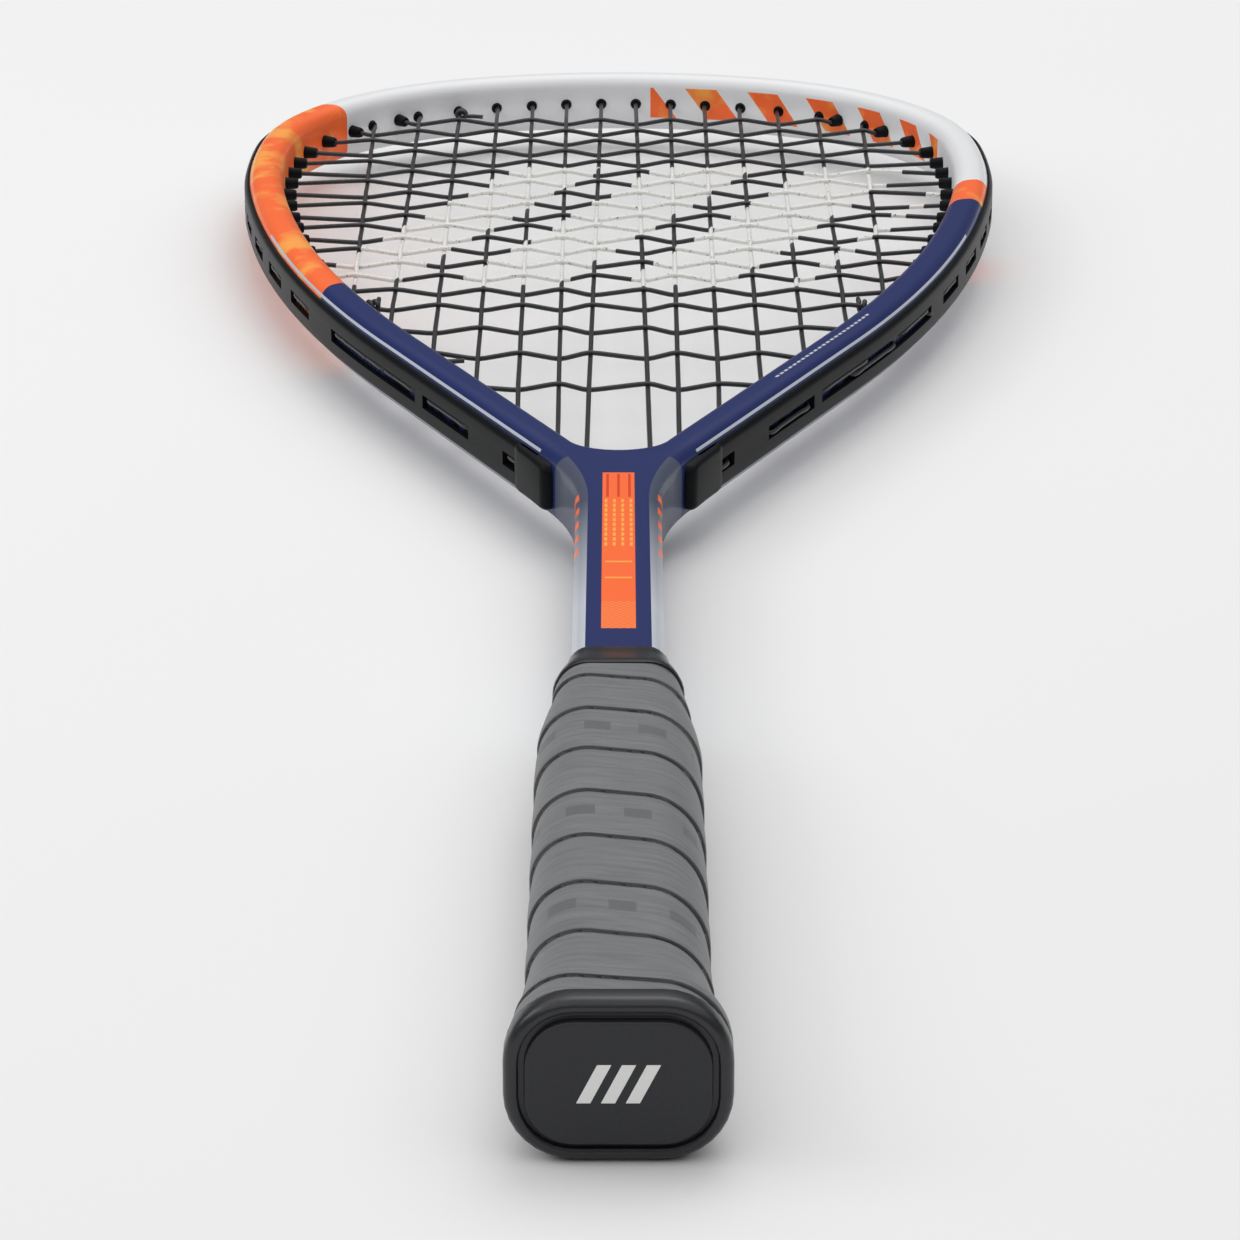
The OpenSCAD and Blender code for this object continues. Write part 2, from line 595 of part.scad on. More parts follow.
module pallet_left() {
    pallet(-1);
}

// The skirt flares from the handle to the rim, and the grip tape lies on it.
skirt_low_w = cap_w - 2 * grip_t;
skirt_low_h = cap_h - 2 * grip_t;
fit = glue_gap;
skirt_stations = [[cap_rim, skirt_low_w, skirt_low_h, cap_r - grip_t],
                  [10, skirt_low_w, skirt_low_h, cap_r - grip_t],
                  [cap_top - 8, (2 * skirt_low_w + core_w) / 3, (2 * skirt_low_h + core_h) / 3,
                   core_r + 0.4],
                  [cap_top, core_w + 0.7, core_h + 0.7, core_r + 0.35]];

module butt_cap() {
    panel_w = cap_w - 2 * panel_inset;
    panel_h = cap_h - 2 * panel_inset;
    panel_r = cap_r - panel_inset;
    groove_y = 1.8;
    color("#35363a") difference() {
        union() {
            translate([0, cap_floor - 0.5]) rotate([90, 0, 0]) linear_extrude(cap_floor - 0.5)
                rounded(panel_w, panel_h, panel_r);
            lofted(concat([[groove_y, panel_w + 2 * cap_groove, panel_h + 2 * cap_groove,
                            panel_r + cap_groove],
                           [0.8, panel_w + 2 * cap_groove + 0.4, panel_h + 2 * cap_groove + 0.4,
                            panel_r + cap_groove + 0.2],
                           [0.8, cap_w - 2.2, cap_h - 2.2, cap_r - 1.1],
                           [1.3, cap_w - 0.7, cap_h - 0.7, cap_r - 0.35],
                           [2.4, cap_w, cap_h, cap_r],
                           [cap_rim - 0.4, cap_w, cap_h, cap_r]],
                          skirt_stations,
                          [[cap_top, core_w + 2 * fit, core_h + 2 * fit, core_r + fit],
                           [cap_floor, core_w + 2 * fit, core_h + 2 * fit, core_r + fit]]));
        }
        staple_and_tack_holes();
    }
}

// Two staples fix the cap's skirt to the pallets, one on each broad face.
staple_y = 16;
function skirt_z(y) = let (a = skirt_stations[1], b = skirt_stations[2])
    (a[2] + (b[2] - a[2]) * (y - a[0]) / (b[0] - a[0])) / 2;
staple_z = skirt_z(staple_y) - wire_d / 2 - 0.1;
staple_leg = staple_z - beam_h / 2 - glue_gap - staple_clear;
tack_y = 12;
tack_x = skirt_low_w / 2 - 0.2;

module staple(r) {
    end = staple_w / 2 - wire_d / 2;
    translate([-end, staple_y, staple_z]) rotate([0, 90, 0]) cylinder(r = r, h = 2 * end, $fn = 24);
    for (x = [-end, end]) {
        translate([x, staple_y, staple_z - staple_leg]) cylinder(r = r, h = staple_leg, $fn = 24);
        translate([x, staple_y, staple_z]) sphere(r, $fn = 24);
    }
}

module cap_staples() {
    color("#b9bdc2") {
        staple(wire_d / 2);
        mirror([0, 0, 1]) staple(wire_d / 2);
    }
}

module grip_tack() {
    head_t = 0.6;
    color("#b9bdc2") {
        translate([tack_x - tack_l, tack_y, 0]) rotate([0, 90, 0])
            cylinder(r = wire_d / 2, h = tack_l, $fn = 24);
        translate([tack_x - 0.05, tack_y, 0]) rotate([0, 90, 0])
            cylinder(r = tack_head / 2, h = head_t + 0.05, $fn = 32);
    }
}

module staple_and_tack_holes() {
    r = wire_d / 2 + 0.02;
    for (side = [-1, 1]) {
        translate([-staple_w / 2 - 0.05, staple_y - r, side * (staple_z + 1.5) - 2])
            cube([staple_w + 0.1, 2 * r, 4]);
        for (x = [-1, 1])
            translate([x * (staple_w / 2 - r), staple_y, side * (staple_z - staple_leg / 2)])
                cylinder(r = r, h = staple_leg + 0.2, center = true, $fn = 24);
    }
    translate([tack_x - tack_l - 0.1, tack_y, 0]) rotate([0, 90, 0])
        cylinder(r = r, h = tack_l + 2, $fn = 24);
    translate([tack_x - 0.05, tack_y, 0]) rotate([0, 90, 0])
        cylinder(r = tack_head / 2 + 0.05, h = 4, $fn = 32);
}

// The base grip is a sleeve of wound tape over the skirt and the pallets.
air = 0.05;
grip_stations = concat([skirt_stations[0], skirt_stations[1], skirt_stations[2],
                        skirt_stations[3], [cap_top + 2, core_w, core_h, core_r]],
                       [handle_stations[1], handle_stations[2]],
                       [[handle_top - 2, lip_w + 0.7, lip_h + 0.5, edge_r + lip_t + 0.2]]);

module base_grip() {
    inside = [for (s = grip_stations) grown(s, air)];
    outside = [for (s = grip_stations) grown(s, grip_t)];
    color("#555657") difference() {
        lofted(concat(outside, reversed(inside)), true);
        translate([tack_x - 1, tack_y, 0]) rotate([0, 90, 0])
            cylinder(r = tack_head / 2 + 0.1, h = 1.6, $fn = 32);
    }
}

// The finishing tape closes the top of the grip and runs on to the shaft.
module finishing_tape() {
    finish_top = handle_top + finish_on;
    low = handle_top - finish_lap;
    grip_end = grip_stations[len(grip_stations) - 1];
    before = grip_stations[len(grip_stations) - 2];
    k = (low - before[0]) / (grip_end[0] - before[0]);
    under = grown([low, before[1] + k * (grip_end[1] - before[1]),
                   before[2] + k * (grip_end[2] - before[2]),
                   before[3] + k * (grip_end[3] - before[3])], grip_t + air);
    edge = grown(grip_end, grip_t + air);
    step = [handle_top + 1, lip_w + 2 * air, lip_h + 2 * air, edge_r + lip_t + air];
    bare = [handle_top + 3, shaft_w + 2 * air, beam_h + 2 * air, edge_r + air];
    top = [finish_top, shaft_w + 2 * air, beam_h + 2 * air, edge_r + air];
    color("#1c1d1f") lofted(concat(
        [grown(under, 0.3), grown(edge, finish_t), grown(step, finish_t + 0.6),
         grown([finish_top - 3, bare[1], bare[2], bare[3]], finish_t), grown(top, 0.25)],
        [top, bare, step, edge, under]), true);
}

hoop_tube();
throat_yoke();
shaft_tube();
bumper_guard();
grommet_strip_left();
grommet_strip_right();
main_string();
cross_string();
pallet_left();
pallet_right();
butt_cap();
cap_staples();
base_grip();
grip_tack();
finishing_tape();
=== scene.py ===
import math

import bmesh
import bpy
from mathutils import Matrix, Vector


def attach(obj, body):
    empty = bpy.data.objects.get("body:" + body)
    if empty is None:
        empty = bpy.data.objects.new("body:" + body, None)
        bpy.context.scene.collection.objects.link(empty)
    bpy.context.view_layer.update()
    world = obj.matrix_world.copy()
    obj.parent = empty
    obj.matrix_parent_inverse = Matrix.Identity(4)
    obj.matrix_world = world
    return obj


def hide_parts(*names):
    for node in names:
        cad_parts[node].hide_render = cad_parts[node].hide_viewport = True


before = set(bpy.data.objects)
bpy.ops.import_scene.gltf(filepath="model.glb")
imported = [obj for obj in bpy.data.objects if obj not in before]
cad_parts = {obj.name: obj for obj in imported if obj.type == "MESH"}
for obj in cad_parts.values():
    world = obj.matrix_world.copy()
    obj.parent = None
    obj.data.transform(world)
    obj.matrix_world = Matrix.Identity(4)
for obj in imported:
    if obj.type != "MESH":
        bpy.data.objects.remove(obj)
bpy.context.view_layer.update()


# The studio: the racket lies on a pale paper sweep with its handle towards the viewer.
# A white ceiling and two soft boxes light it; the walls are dim, so the gloss keeps its depth.
def linear(hex_colour, alpha=1.0):
    """Turns an sRGB hex colour into the linear values a shader takes."""
    parts = [int(hex_colour[i:i + 2], 16) / 255 for i in (1, 3, 5)]
    return (*[p / 12.92 if p < 0.04045 else ((p + 0.055) / 1.055) ** 2.4 for p in parts], alpha)


def add(tree, kind, inputs=None, **settings):
    """Adds a shader node; an input is a value, or the output it is linked to."""
    node = tree.nodes.new("ShaderNode" + kind)
    for name, value in settings.items():
        setattr(node, name, value)
    for key, value in (inputs or {}).items():
        if isinstance(value, bpy.types.NodeSocket):
            tree.links.new(value, node.inputs[key])
        else:
            node.inputs[key].default_value = value
    return node


def new_material(name):
    """An empty material and its node tree."""
    material = bpy.data.materials.new(name)
    material.use_nodes = True
    material.node_tree.nodes.clear()
    return material, material.node_tree


def painted(tree, base, *coats):
    """Colours laid over a base in turn. Each coat is where it shows, from 0 to 1, and its colour."""
    for where, colour in coats:
        mixed = add(tree, "Mix", {"Factor": where, "A": base, "B": colour}, data_type="RGBA")
        base = mixed.outputs["Result"]
    return base


scene = bpy.context.scene
camera = bpy.data.objects.new("camera", bpy.data.cameras.new("camera"))
camera.location = (0, -0.647, 0.3156)
camera.rotation_euler = (math.radians(69.95), 0, 0)
camera.data.sensor_width = 36
camera.data.lens = 129.28
camera.data.shift_x = 0.0012
camera.data.clip_start = 0.05
scene.collection.objects.link(camera)
scene.camera = camera

# Matt seamless paper: almost white, with a very slight unevenness.
paper, tree = new_material("matt_paper")
coords = add(tree, "TexCoord").outputs["Object"]
mottle = add(tree, "TexNoise", {"Vector": coords, "Scale": 3, "Detail": 2})
tone = painted(tree, linear("#E9E9E9"), (mottle.outputs["Fac"], linear("#ECECEC")))
sheet = add(tree, "BsdfPrincipled", {"Base Color": tone, "Roughness": 0.9,
                                     "Specular IOR Level": 0.1})
add(tree, "OutputMaterial", {"Surface": sheet.outputs[0]})
bm = bmesh.new()
bmesh.ops.create_grid(bm, x_segments=1, y_segments=1, size=6)
bmesh.ops.translate(bm, vec=(0, 1, -0.0148), verts=bm.verts)
floor = bpy.data.objects.new("floor", bpy.data.meshes.new("floor"))
bm.to_mesh(floor.data)
bm.free()
floor.data.materials.append(paper)
scene.collection.objects.link(floor)

world = bpy.data.worlds.new("white_room")
scene.world = world
world.use_nodes = True
tree = world.node_tree
height = add(tree, "SeparateXYZ", {0: add(tree, "TexCoord").outputs["Generated"]}).outputs[2]
room = add(tree, "ValToRGB", {0: height})
room.color_ramp.elements[0].position = 0.4
room.color_ramp.elements[0].color = linear("#5A5A5C")
room.color_ramp.elements[1].position = 0.62
room.color_ramp.elements[1].color = linear("#FFFFFF")
tree.links.new(room.outputs[0], tree.nodes["Background"].inputs["Color"])
tree.nodes["Background"].inputs["Strength"].default_value = 1.08
scene.view_settings.view_transform = "Standard"
for name, where, size, power in (("overhead", (0.2, 0.95, 1.5), 1.0, 5),
                                 ("left_box", (-1.3, 0.2, 0.9), 0.7, 4)):
    light = bpy.data.objects.new(name, bpy.data.lights.new(name, "AREA"))
    light.data.size = size
    light.data.energy = power
    light.location = where
    aim = Vector((0, 0.45, 0)) - Vector(where)
    light.rotation_euler = aim.to_track_quat("-Z", "Y").to_euler()
    scene.collection.objects.link(light)


# The hoop: one carbon-fibre tube bent into a teardrop, from one leg round the head to the other.
# It is moulded in a hot tool, filled, painted in navy, orange and pearl white, and lacquered.
TUBE_W, BEAM_H, EDGE_R = 9.4, 16.8, 3.8
TIP_Y = 678.4
ARCS = ((130, 20.4), (81, 64.3), (250, 12.8), (500, 17.5))  # radius and turn, from the tip down
LEG_ANGLE = math.radians(25)
LEG_L = 95.4
ARCS_L = sum(radius * math.radians(turn) for radius, turn in ARCS)
LEG_END = ARCS_L + LEG_L
FILLET_R, FILLET_X, FILLET_Y = 92.0, 101.4, 272.6


def frame_at(s):
    """The tube's cross-section plane s mm along the frame from the tip; the left is negative.
    Its X points out of the frame and its Z up."""
    left, s = s < 0, abs(s)
    facing, centre = math.pi / 2, Vector((0, TIP_Y - ARCS[0][0]))
    for i, (radius, turn) in enumerate(ARCS):
        last = i == len(ARCS) - 1
        if s <= radius * math.radians(turn) or last:
            bend = min(s, radius * math.radians(turn))
            angle = facing - bend / radius
            at = centre + radius * Vector((math.cos(angle), math.sin(angle)))
            s -= bend
            break
        s -= radius * math.radians(turn)
        facing -= math.radians(turn)
        centre += (radius - ARCS[i + 1][0]) * Vector((math.cos(facing), math.sin(facing)))
    straight = min(s, LEG_L)
    at -= straight * Vector((math.sin(LEG_ANGLE), math.cos(LEG_ANGLE))) if s > 0 else Vector((0, 0))
    if s > LEG_L:
        angle = (s - LEG_L) / FILLET_R - LEG_ANGLE
        reach = FILLET_R + TUBE_W / 2
        at = Vector((FILLET_X - reach * math.cos(angle), FILLET_Y - reach * math.sin(angle)))
    if left:
        at.x, angle = -at.x, math.pi - angle
    return Matrix.Translation((at.x, at.y, 0)) @ Matrix.Rotation(angle, 4, "Z")


def rounded(w, h, r, steps=6):
    """A rounded rectangle as points, from the right side round by the top."""
    points = []
    for quarter, (sx, sz) in enumerate(((1, 1), (-1, 1), (-1, -1), (1, -1))):
        for k in range(steps + 1):
            a = math.pi / 2 * (quarter + k / steps)
            points.append((sx * (w / 2 - r) + r * math.cos(a), sz * (h / 2 - r) + r * math.sin(a)))
    return points


def lofted(bm, rings):
    """A closed ring of points extruded on from one ring to the next, and filled at both ends."""
    corner = bm.verts.layers.int.get("corner") or bm.verts.layers.int.new("corner")
    level = bm.verts.layers.int.get("level") or bm.verts.layers.int.new("level")
    ring = [bm.verts.new(p) for p in rings[0]]
    for k, v in enumerate(ring):
        v[corner] = k
    edges = [bm.edges.new((ring[k - 1], ring[k])) for k in range(len(ring))]
    first = edges
    made = list(ring)
    for i, points in enumerate(rings[1:], 1):
        grown = bmesh.ops.extrude_edge_only(bm, edges=edges)["geom"]
        ring = [g for g in grown if isinstance(g, bmesh.types.BMVert)]
        new = set(ring)
        edges = [g for g in grown if isinstance(g, bmesh.types.BMEdge) and set(g.verts) <= new]
        for v in ring:
            v.co = points[v[corner]]
            v[level] = i
        made += ring
    for end in (first, edges):
        bmesh.ops.edgeloop_fill(bm, edges=end)
    return made


def along_frame(bm, section, stations):
    """A section swept along the frame. Each point remembers its distance along and out (mm)."""
    s_layer = bm.verts.layers.float.get("along") or bm.verts.layers.float.new("along")
    x_layer = bm.verts.layers.float.get("out") or bm.verts.layers.float.new("out")
    rings = [[frame_at(s) @ Vector((x, 0, z)) for x, z in section] for s in stations]
    made = lofted(bm, rings)
    corner, level = bm.verts.layers.int["corner"], bm.verts.layers.int["level"]
    for v in made:
        v[s_layer] = stations[v[level]]
        v[x_layer] = section[v[corner]][0]
    return made


def show(bm, name, material, slot, *nodes, sharp=38):
    """Finishes a piece drawn in millimetres: outward faces, real size, smooth shading, its ride."""
    bmesh.ops.recalc_face_normals(bm, faces=bm.faces)
    bmesh.ops.scale(bm, vec=(0.001, 0.001, 0.001), verts=bm.verts)
    piece = bpy.data.objects.new(name, bpy.data.meshes.new(name))
    bm.to_mesh(piece.data)
    bm.free()
    piece.data.shade_smooth()
    piece.data.set_sharp_from_angle(angle=math.radians(sharp))
    piece.data.materials.append(material)
    scene.collection.objects.link(piece)
    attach(piece, "root")
    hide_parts(*nodes)
    return piece


def station_at_y(y):
    """The station on the right half where the centre line is at height y."""
    low, high = 60.0, LEG_END
    while high - low > 0.01:
        middle = (low + high) / 2
        low, high = (middle, high) if frame_at(middle).translation.y > y else (low, middle)
    return low


def evenly(start, end, step):
    count = max(1, math.ceil(abs(end - start) / step))
    return [start + (end - start) * k / count for k in range(count + 1)]


def in_millimetres(tree):
    """The place on the racket in millimetres, so that each pattern's scale is per millimetre."""
    place = add(tree, "TexCoord").outputs["Object"]
    return add(tree, "Mapping", {"Vector": place, "Scale": (1000, 1000, 1000)}).outputs[0]


def area(tree, *limits):
    """1 where every limit holds, and 0 elsewhere. A limit is a mask, or three things: a value,
    the middle that it should be near, and how far from the middle it may be."""
    inside = None
    for limit in limits:
        if isinstance(limit, tuple):
            limit = add(tree, "Math", dict(enumerate(limit)), operation="COMPARE").outputs[0]
        if inside is None:
            inside = limit
        else:
            inside = add(tree, "Math", {0: inside, 1: limit}, operation="MULTIPLY").outputs[0]
    return inside


NAVY, ORANGE, AMBER, PEARL, GREY = "#1F2C62", "#FF7038", "#FFA84E", "#E9EAEC", "#C3C8D0"
SLATE = "#4C5366"


def lacquer(tree, colour, coords):
    """Clear lacquer over paint: glossy, with the very shallow ripple of a sprayed coat."""
    ripple = add(tree, "TexNoise", {"Vector": coords, "Scale": 0.35, "Detail": 2})
    bump = add(tree, "Bump", {"Height": ripple.outputs["Fac"], "Strength": 0.04, "Distance": 0.0004})
    paint = add(tree, "BsdfPrincipled", {"Base Color": colour, "Roughness": 0.4, "IOR": 1.45,
                                         "Specular IOR Level": 0.15,
                                         "Coat Weight": 0.22, "Coat Roughness": 0.08,
                                         "Normal": bump.outputs[0]})
    add(tree, "OutputMaterial", {"Surface": paint.outputs[0]})


# Painted carbon tube: blocks of colour with crisp masked edges, under gloss lacquer.
hoop_paint, tree = new_material("lacquered_carbon_hoop")
mm = in_millimetres(tree)
z = add(tree, "SeparateXYZ", {0: mm}).outputs[2]
along = add(tree, "Attribute", attribute_name="along").outputs["Fac"]
across = add(tree, "Attribute", attribute_name="out").outputs["Fac"]
sloped = add(tree, "Math", {0: across, 1: 0.5, 2: along}, operation="MULTIPLY_ADD").outputs[0]
place = add(tree, "MapRange", {"Value": sloped, "From Min": -450, "From Max": 450}).outputs[0]
flame = add(tree, "TexNoise", {"Vector": mm, "Scale": 0.07, "Detail": 3, "Roughness": 0.6})
fleck = add(tree, "MapRange", {"Value": flame.outputs["Fac"], "From Min": 0.48, "From Max": 0.62})
orange = painted(tree, linear(ORANGE), (fleck.outputs[0], linear(AMBER)))
zones = ((-450, "navy"), (-station_at_y(441), "orange"), (-station_at_y(636), "pearl"),
         (station_at_y(551), "orange"), (station_at_y(531), "navy"))
is_orange = add(tree, "ValToRGB", {0: place})
is_pearl = add(tree, "ValToRGB", {0: place})
for ramp, kind in ((is_orange.color_ramp, "orange"), (is_pearl.color_ramp, "pearl")):
    ramp.interpolation = "CONSTANT"
    for i, (s, zone) in enumerate(zones):
        stop = ramp.elements[i] if i < 2 else ramp.elements.new(0.99)
        stop.position = (s + 450) / 900
        stop.color = linear("#FFFFFF" if zone == kind else "#000000")
length = add(tree, "Math", {0: along}, operation="ABSOLUTE").outputs[0]
# Light grey on the inner wall round the throat: partly grey paint, partly a painted highlight along the
# wall's top edge.
rim = area(tree, (across, -5.2, 2.2), (length, LEG_END, 42))
pinstripe = area(tree, (across, 4.2, 0.17), (length, LEG_END - 90, 110))
slant = add(tree, "Math", {0: z, 1: 0.8, 2: along}, operation="MULTIPLY_ADD").outputs[0]
beat = add(tree, "Math", {0: slant, 1: 20.0}, operation="MODULO").outputs[0]
bars = area(tree, (across, -5.2, 1.2), (z, 0.5, 4.6), (beat, 10.0, 5.0), (along, 70, 60))
tick = add(tree, "Math", {0: along, 1: 2.6}, operation="MODULO").outputs[0]
print_line = area(tree, (across, 0.6, 0.35), (tick, 1.2, 0.85), (along, ARCS_L + 12, 30),
                  (z, 8.2, 1.0))
colour = painted(tree, linear(NAVY), (is_orange.outputs[0], orange),
                 (is_pearl.outputs[0], linear(PEARL)), (rim, linear(GREY)),
                 (pinstripe, linear(GREY)), (bars, orange), (print_line, linear(GREY)))
lacquer(tree, colour, mm)

bm = bmesh.new()
along_frame(bm, rounded(TUBE_W, BEAM_H, EDGE_R), evenly(-LEG_END, LEG_END, 2.5))
show(bm, "hoop", hoop_paint, "frame", "hoop_tube")


# The throat yoke: a solid moulded fork that both legs and the shaft are glued into.
# Its joints are filled and painted over, so the legs run into the shaft with no seam.
SHAFT_W = 18.8
THROAT_Y, THROAT_R = 320.0, 10.5
frame_paint, tree = new_material("lacquered_carbon_shaft")
mm = in_millimetres(tree)
x, y, z = add(tree, "SeparateXYZ", {0: mm}).outputs
aside = add(tree, "Math", {0: x}, operation="ABSOLUTE").outputs[0]
normal = add(tree, "SeparateXYZ", {0: add(tree, "NewGeometry").outputs["Normal"]})
up = add(tree, "Math", {0: normal.outputs[2]}, operation="ABSOLUTE").outputs[0]
flank = area(tree, (up, 0, 0.962), (y, 150, 152))
fade = add(tree, "MapRange", {"Value": y, "From Min": 205, "From Max": 272}).outputs[0]
pale = painted(tree, linear(GREY), (fade, linear(SLATE)))
throat = add(tree, "VectorMath", {0: mm, 1: (0, THROAT_Y, 0)}, operation="SUBTRACT").outputs[0]
throat = add(tree, "VectorMath", {0: throat, 1: (1, 1, 0)}, operation="MULTIPLY").outputs[0]
throat = add(tree, "VectorMath", {0: throat}, operation="LENGTH").outputs["Value"]
# Light grey on the throat's inner wall: partly grey paint, partly a painted highlight along its top
# edge.
rim = area(tree, (throat, 10, 2.6))
panel = area(tree, (aside, 0, 3.5), (y, 240, 50), (z, 8.5, 2))
lines = add(tree, "Math", {0: x, 1: 1.2}, operation="PINGPONG").outputs[0]
lines = area(tree, (lines, 0, 0.28), (y, 281, 8))
columns = add(tree, "Math", {0: x, 1: 0.9}, operation="PINGPONG").outputs[0]
dashes = add(tree, "Math", {0: y, 1: 3.2}, operation="MODULO").outputs[0]
dashes = area(tree, (columns, 0.9, 0.3), (dashes, 1.6, 1.1), (y, 256, 16))
rows = add(tree, "Math", {0: y, 1: 10.0}, operation="MODULO").outputs[0]
rows = area(tree, (rows, 0, 0.8), (y, 225, 8), (aside, 0, 2.8))
weave = add(tree, "TexChecker", {"Vector": mm, "Scale": 1.3}).outputs["Fac"]
weave = area(tree, weave, (y, 197, 9))
artwork = painted(tree, linear(ORANGE), (lines, linear("#D9431F")), (dashes, linear("#FFB04D")),
                  (rows, linear("#FFB04D")), (weave, linear("#FF8A4C")))
slant = add(tree, "Math", {0: z, 1: 0.8, 2: y}, operation="MULTIPLY_ADD").outputs[0]
beat = add(tree, "Math", {0: slant, 1: 9.0}, operation="MODULO").outputs[0]
bars = area(tree, (beat, 3.5, 2.1), (z, 4.4, 2.6), (y, 257, 22), (up, 0, 0.9))
colour = painted(tree, linear(NAVY), (flank, pale), (rim, linear(GREY)), (panel, artwork),
                 (bars, linear(ORANGE)))
lacquer(tree, colour, mm)

bm = bmesh.new()
edge = [(SHAFT_W / 2, FILLET_Y)]
edge += [(FILLET_X + FILLET_R * math.cos(a), FILLET_Y + FILLET_R * math.sin(a))
         for a in evenly(math.pi, math.pi - LEG_ANGLE, 0.02)[1:]]
edge += [(THROAT_R * math.cos(a), THROAT_Y + THROAT_R * math.sin(a))
         for a in evenly(-LEG_ANGLE, -math.pi / 2, 0.09)]
edge += [(-px, py) for px, py in reversed(edge[:-1])]
base = [bm.verts.new((px, py, -BEAM_H / 2)) for px, py in edge]
loop = [bm.edges.new((base[k - 1], base[k])) for k in range(len(base))]
face = bmesh.ops.edgeloop_fill(bm, edges=loop)["faces"]
grown = bmesh.ops.extrude_face_region(bm, geom=face)["geom"]
raised = [g for g in grown if isinstance(g, bmesh.types.BMVert)]
bmesh.ops.translate(bm, vec=(0, 0, BEAM_H), verts=raised)
bmesh.ops.recalc_face_normals(bm, faces=bm.faces)


def on_an_end(e):
    """True for the straight edges where a leg or the shaft joins on."""
    return e.calc_length() > 9


outline = [e for e in bm.edges if abs(e.verts[0].co.z - e.verts[1].co.z) < 0.01 and not on_an_end(e)]
bmesh.ops.bevel(bm, geom=outline, offset=EDGE_R, offset_type="OFFSET", affect="EDGES", segments=6,
                profile=0.5, material=-1)
show(bm, "throat_fork", frame_paint, "frame", "throat_yoke")


# The shaft: a carbon-fibre box tube with rounded corners, running down into the handle.
# Its top carries the orange artwork panel, and its side faces are pale grey.
bm = bmesh.new()
bmesh.ops.create_cube(bm, size=1)
bmesh.ops.scale(bm, vec=(SHAFT_W, FILLET_Y - 8, BEAM_H), verts=bm.verts)
bmesh.ops.translate(bm, vec=(0, (FILLET_Y + 8) / 2, 0), verts=bm.verts)
lengthwise = [e for e in bm.edges if abs(e.verts[0].co.y - e.verts[1].co.y) > 100]
bmesh.ops.bevel(bm, geom=lengthwise, offset=EDGE_R, offset_type="OFFSET", affect="EDGES", segments=6,
                profile=0.5, material=-1)
show(bm, "shaft", frame_paint, "frame", "shaft_tube")


# The grommet strips and the bumper guard: moulded nylon strips pressed into the tube's channel.
# Windows in them show the strings outside, and their barrels line the string holes.
STRIP_IN, STRIP_H, STRIP_OUT, BUMPER_OUT, TAB_OUT = 4.0, 11.0, 6.1, 6.6, 7.0
FADE_L = 24  # the bumper thins to a strip's thickness over this length at each end
MAIN_TIP_X = (5.2, 15.7, 26, 36.5, 47.8, 59.6, 72.6)
MAIN_LEG_X = (5.4, 14.4, 24.2, 34.6, 46, 57.7, 68.5)
CROSS_Y = [TIP_Y - 4.7 - drop for drop in (
    23.3, 36.6, 48.4, 61, 73.2, 84.8, 96.1, 108.8, 120.7, 133.5,
    144.2, 156.7, 168.3, 181.6, 194.5, 208.4, 222.7, 243.4, 265.7, 291.8)]
TIP_STAND, LEG_STAND, CROSS_STAND = 0.8, 2.0, 3.6


def station_where(axis, value, stand, low, high):
    """The station where a barrel's mouth has this X (axis 0) or Y (axis 1), by halving."""
    def at(s):
        return (frame_at(s) @ Vector((-TUBE_W / 2 - stand, 0, 0)))[axis]
    rising = at(high) > at(low)
    while abs(high - low) > 0.005:
        middle = (low + high) / 2
        low, high = (middle, high) if (at(middle) < value) == rising else (low, middle)
    return low


TIP_S = [station_where(0, x_at, TIP_STAND, 0, 125) for x_at in MAIN_TIP_X]
LEG_S = [station_where(0, x_at, LEG_STAND, 180, LEG_END) for x_at in MAIN_LEG_X]
CROSS_S = [station_where(1, y_at, CROSS_STAND, 30, LEG_END) for y_at in CROSS_Y]
JOINT_S, JOINT_GAP = station_at_y(583.2), 0.3  # where the bumper and the side strips meet
TAB_S = LEG_END + math.radians(5.4) * FILLET_R
TIP_RUNS = [(TIP_S[i], TIP_S[i + 1]) for i in (1, 3, 5)]
LEG_RUNS = [(LEG_S[i + 1], LEG_S[i]) for i in (0, 2, 4)] + [(CROSS_S[-4], LEG_S[6])]
RIGHT_RUNS = [(CROSS_S[i], CROSS_S[i + 1]) for i in range(0, 20, 2)]
LEFT_RUNS = [(CROSS_S[i], CROSS_S[i + 1]) for i in range(1, 19, 2)]
START_RUN = tuple(sorted((TIP_S[4], CROSS_S[0])))
END_RUN = tuple(sorted((CROSS_S[-1], LEG_S[4])))


def windows(runs, low, high):
    """The windows' ends: a little past each run's holes, with touching windows joined."""
    spans = []
    for a, b in sorted(run for run in runs if low < run[0] and run[1] < high):
        if spans and a - 1.8 < spans[-1][1] + 2:
            spans[-1][1] = max(spans[-1][1], b + 1.8)
        else:
            spans.append([a - 1.8, b + 1.8])
    return spans


def strip_section(reach):
    """The strip's section: bevelled at both edges, with a flat band where windows are cut."""
    half = STRIP_H / 2
    lower = [(STRIP_IN, -half), (reach - 0.9, -half), (reach - 0.25, -half + 0.6),
             (reach, -half + 1.5), (reach, -1.9)]
    return lower + [(px, -pz) for px, pz in reversed(lower)]


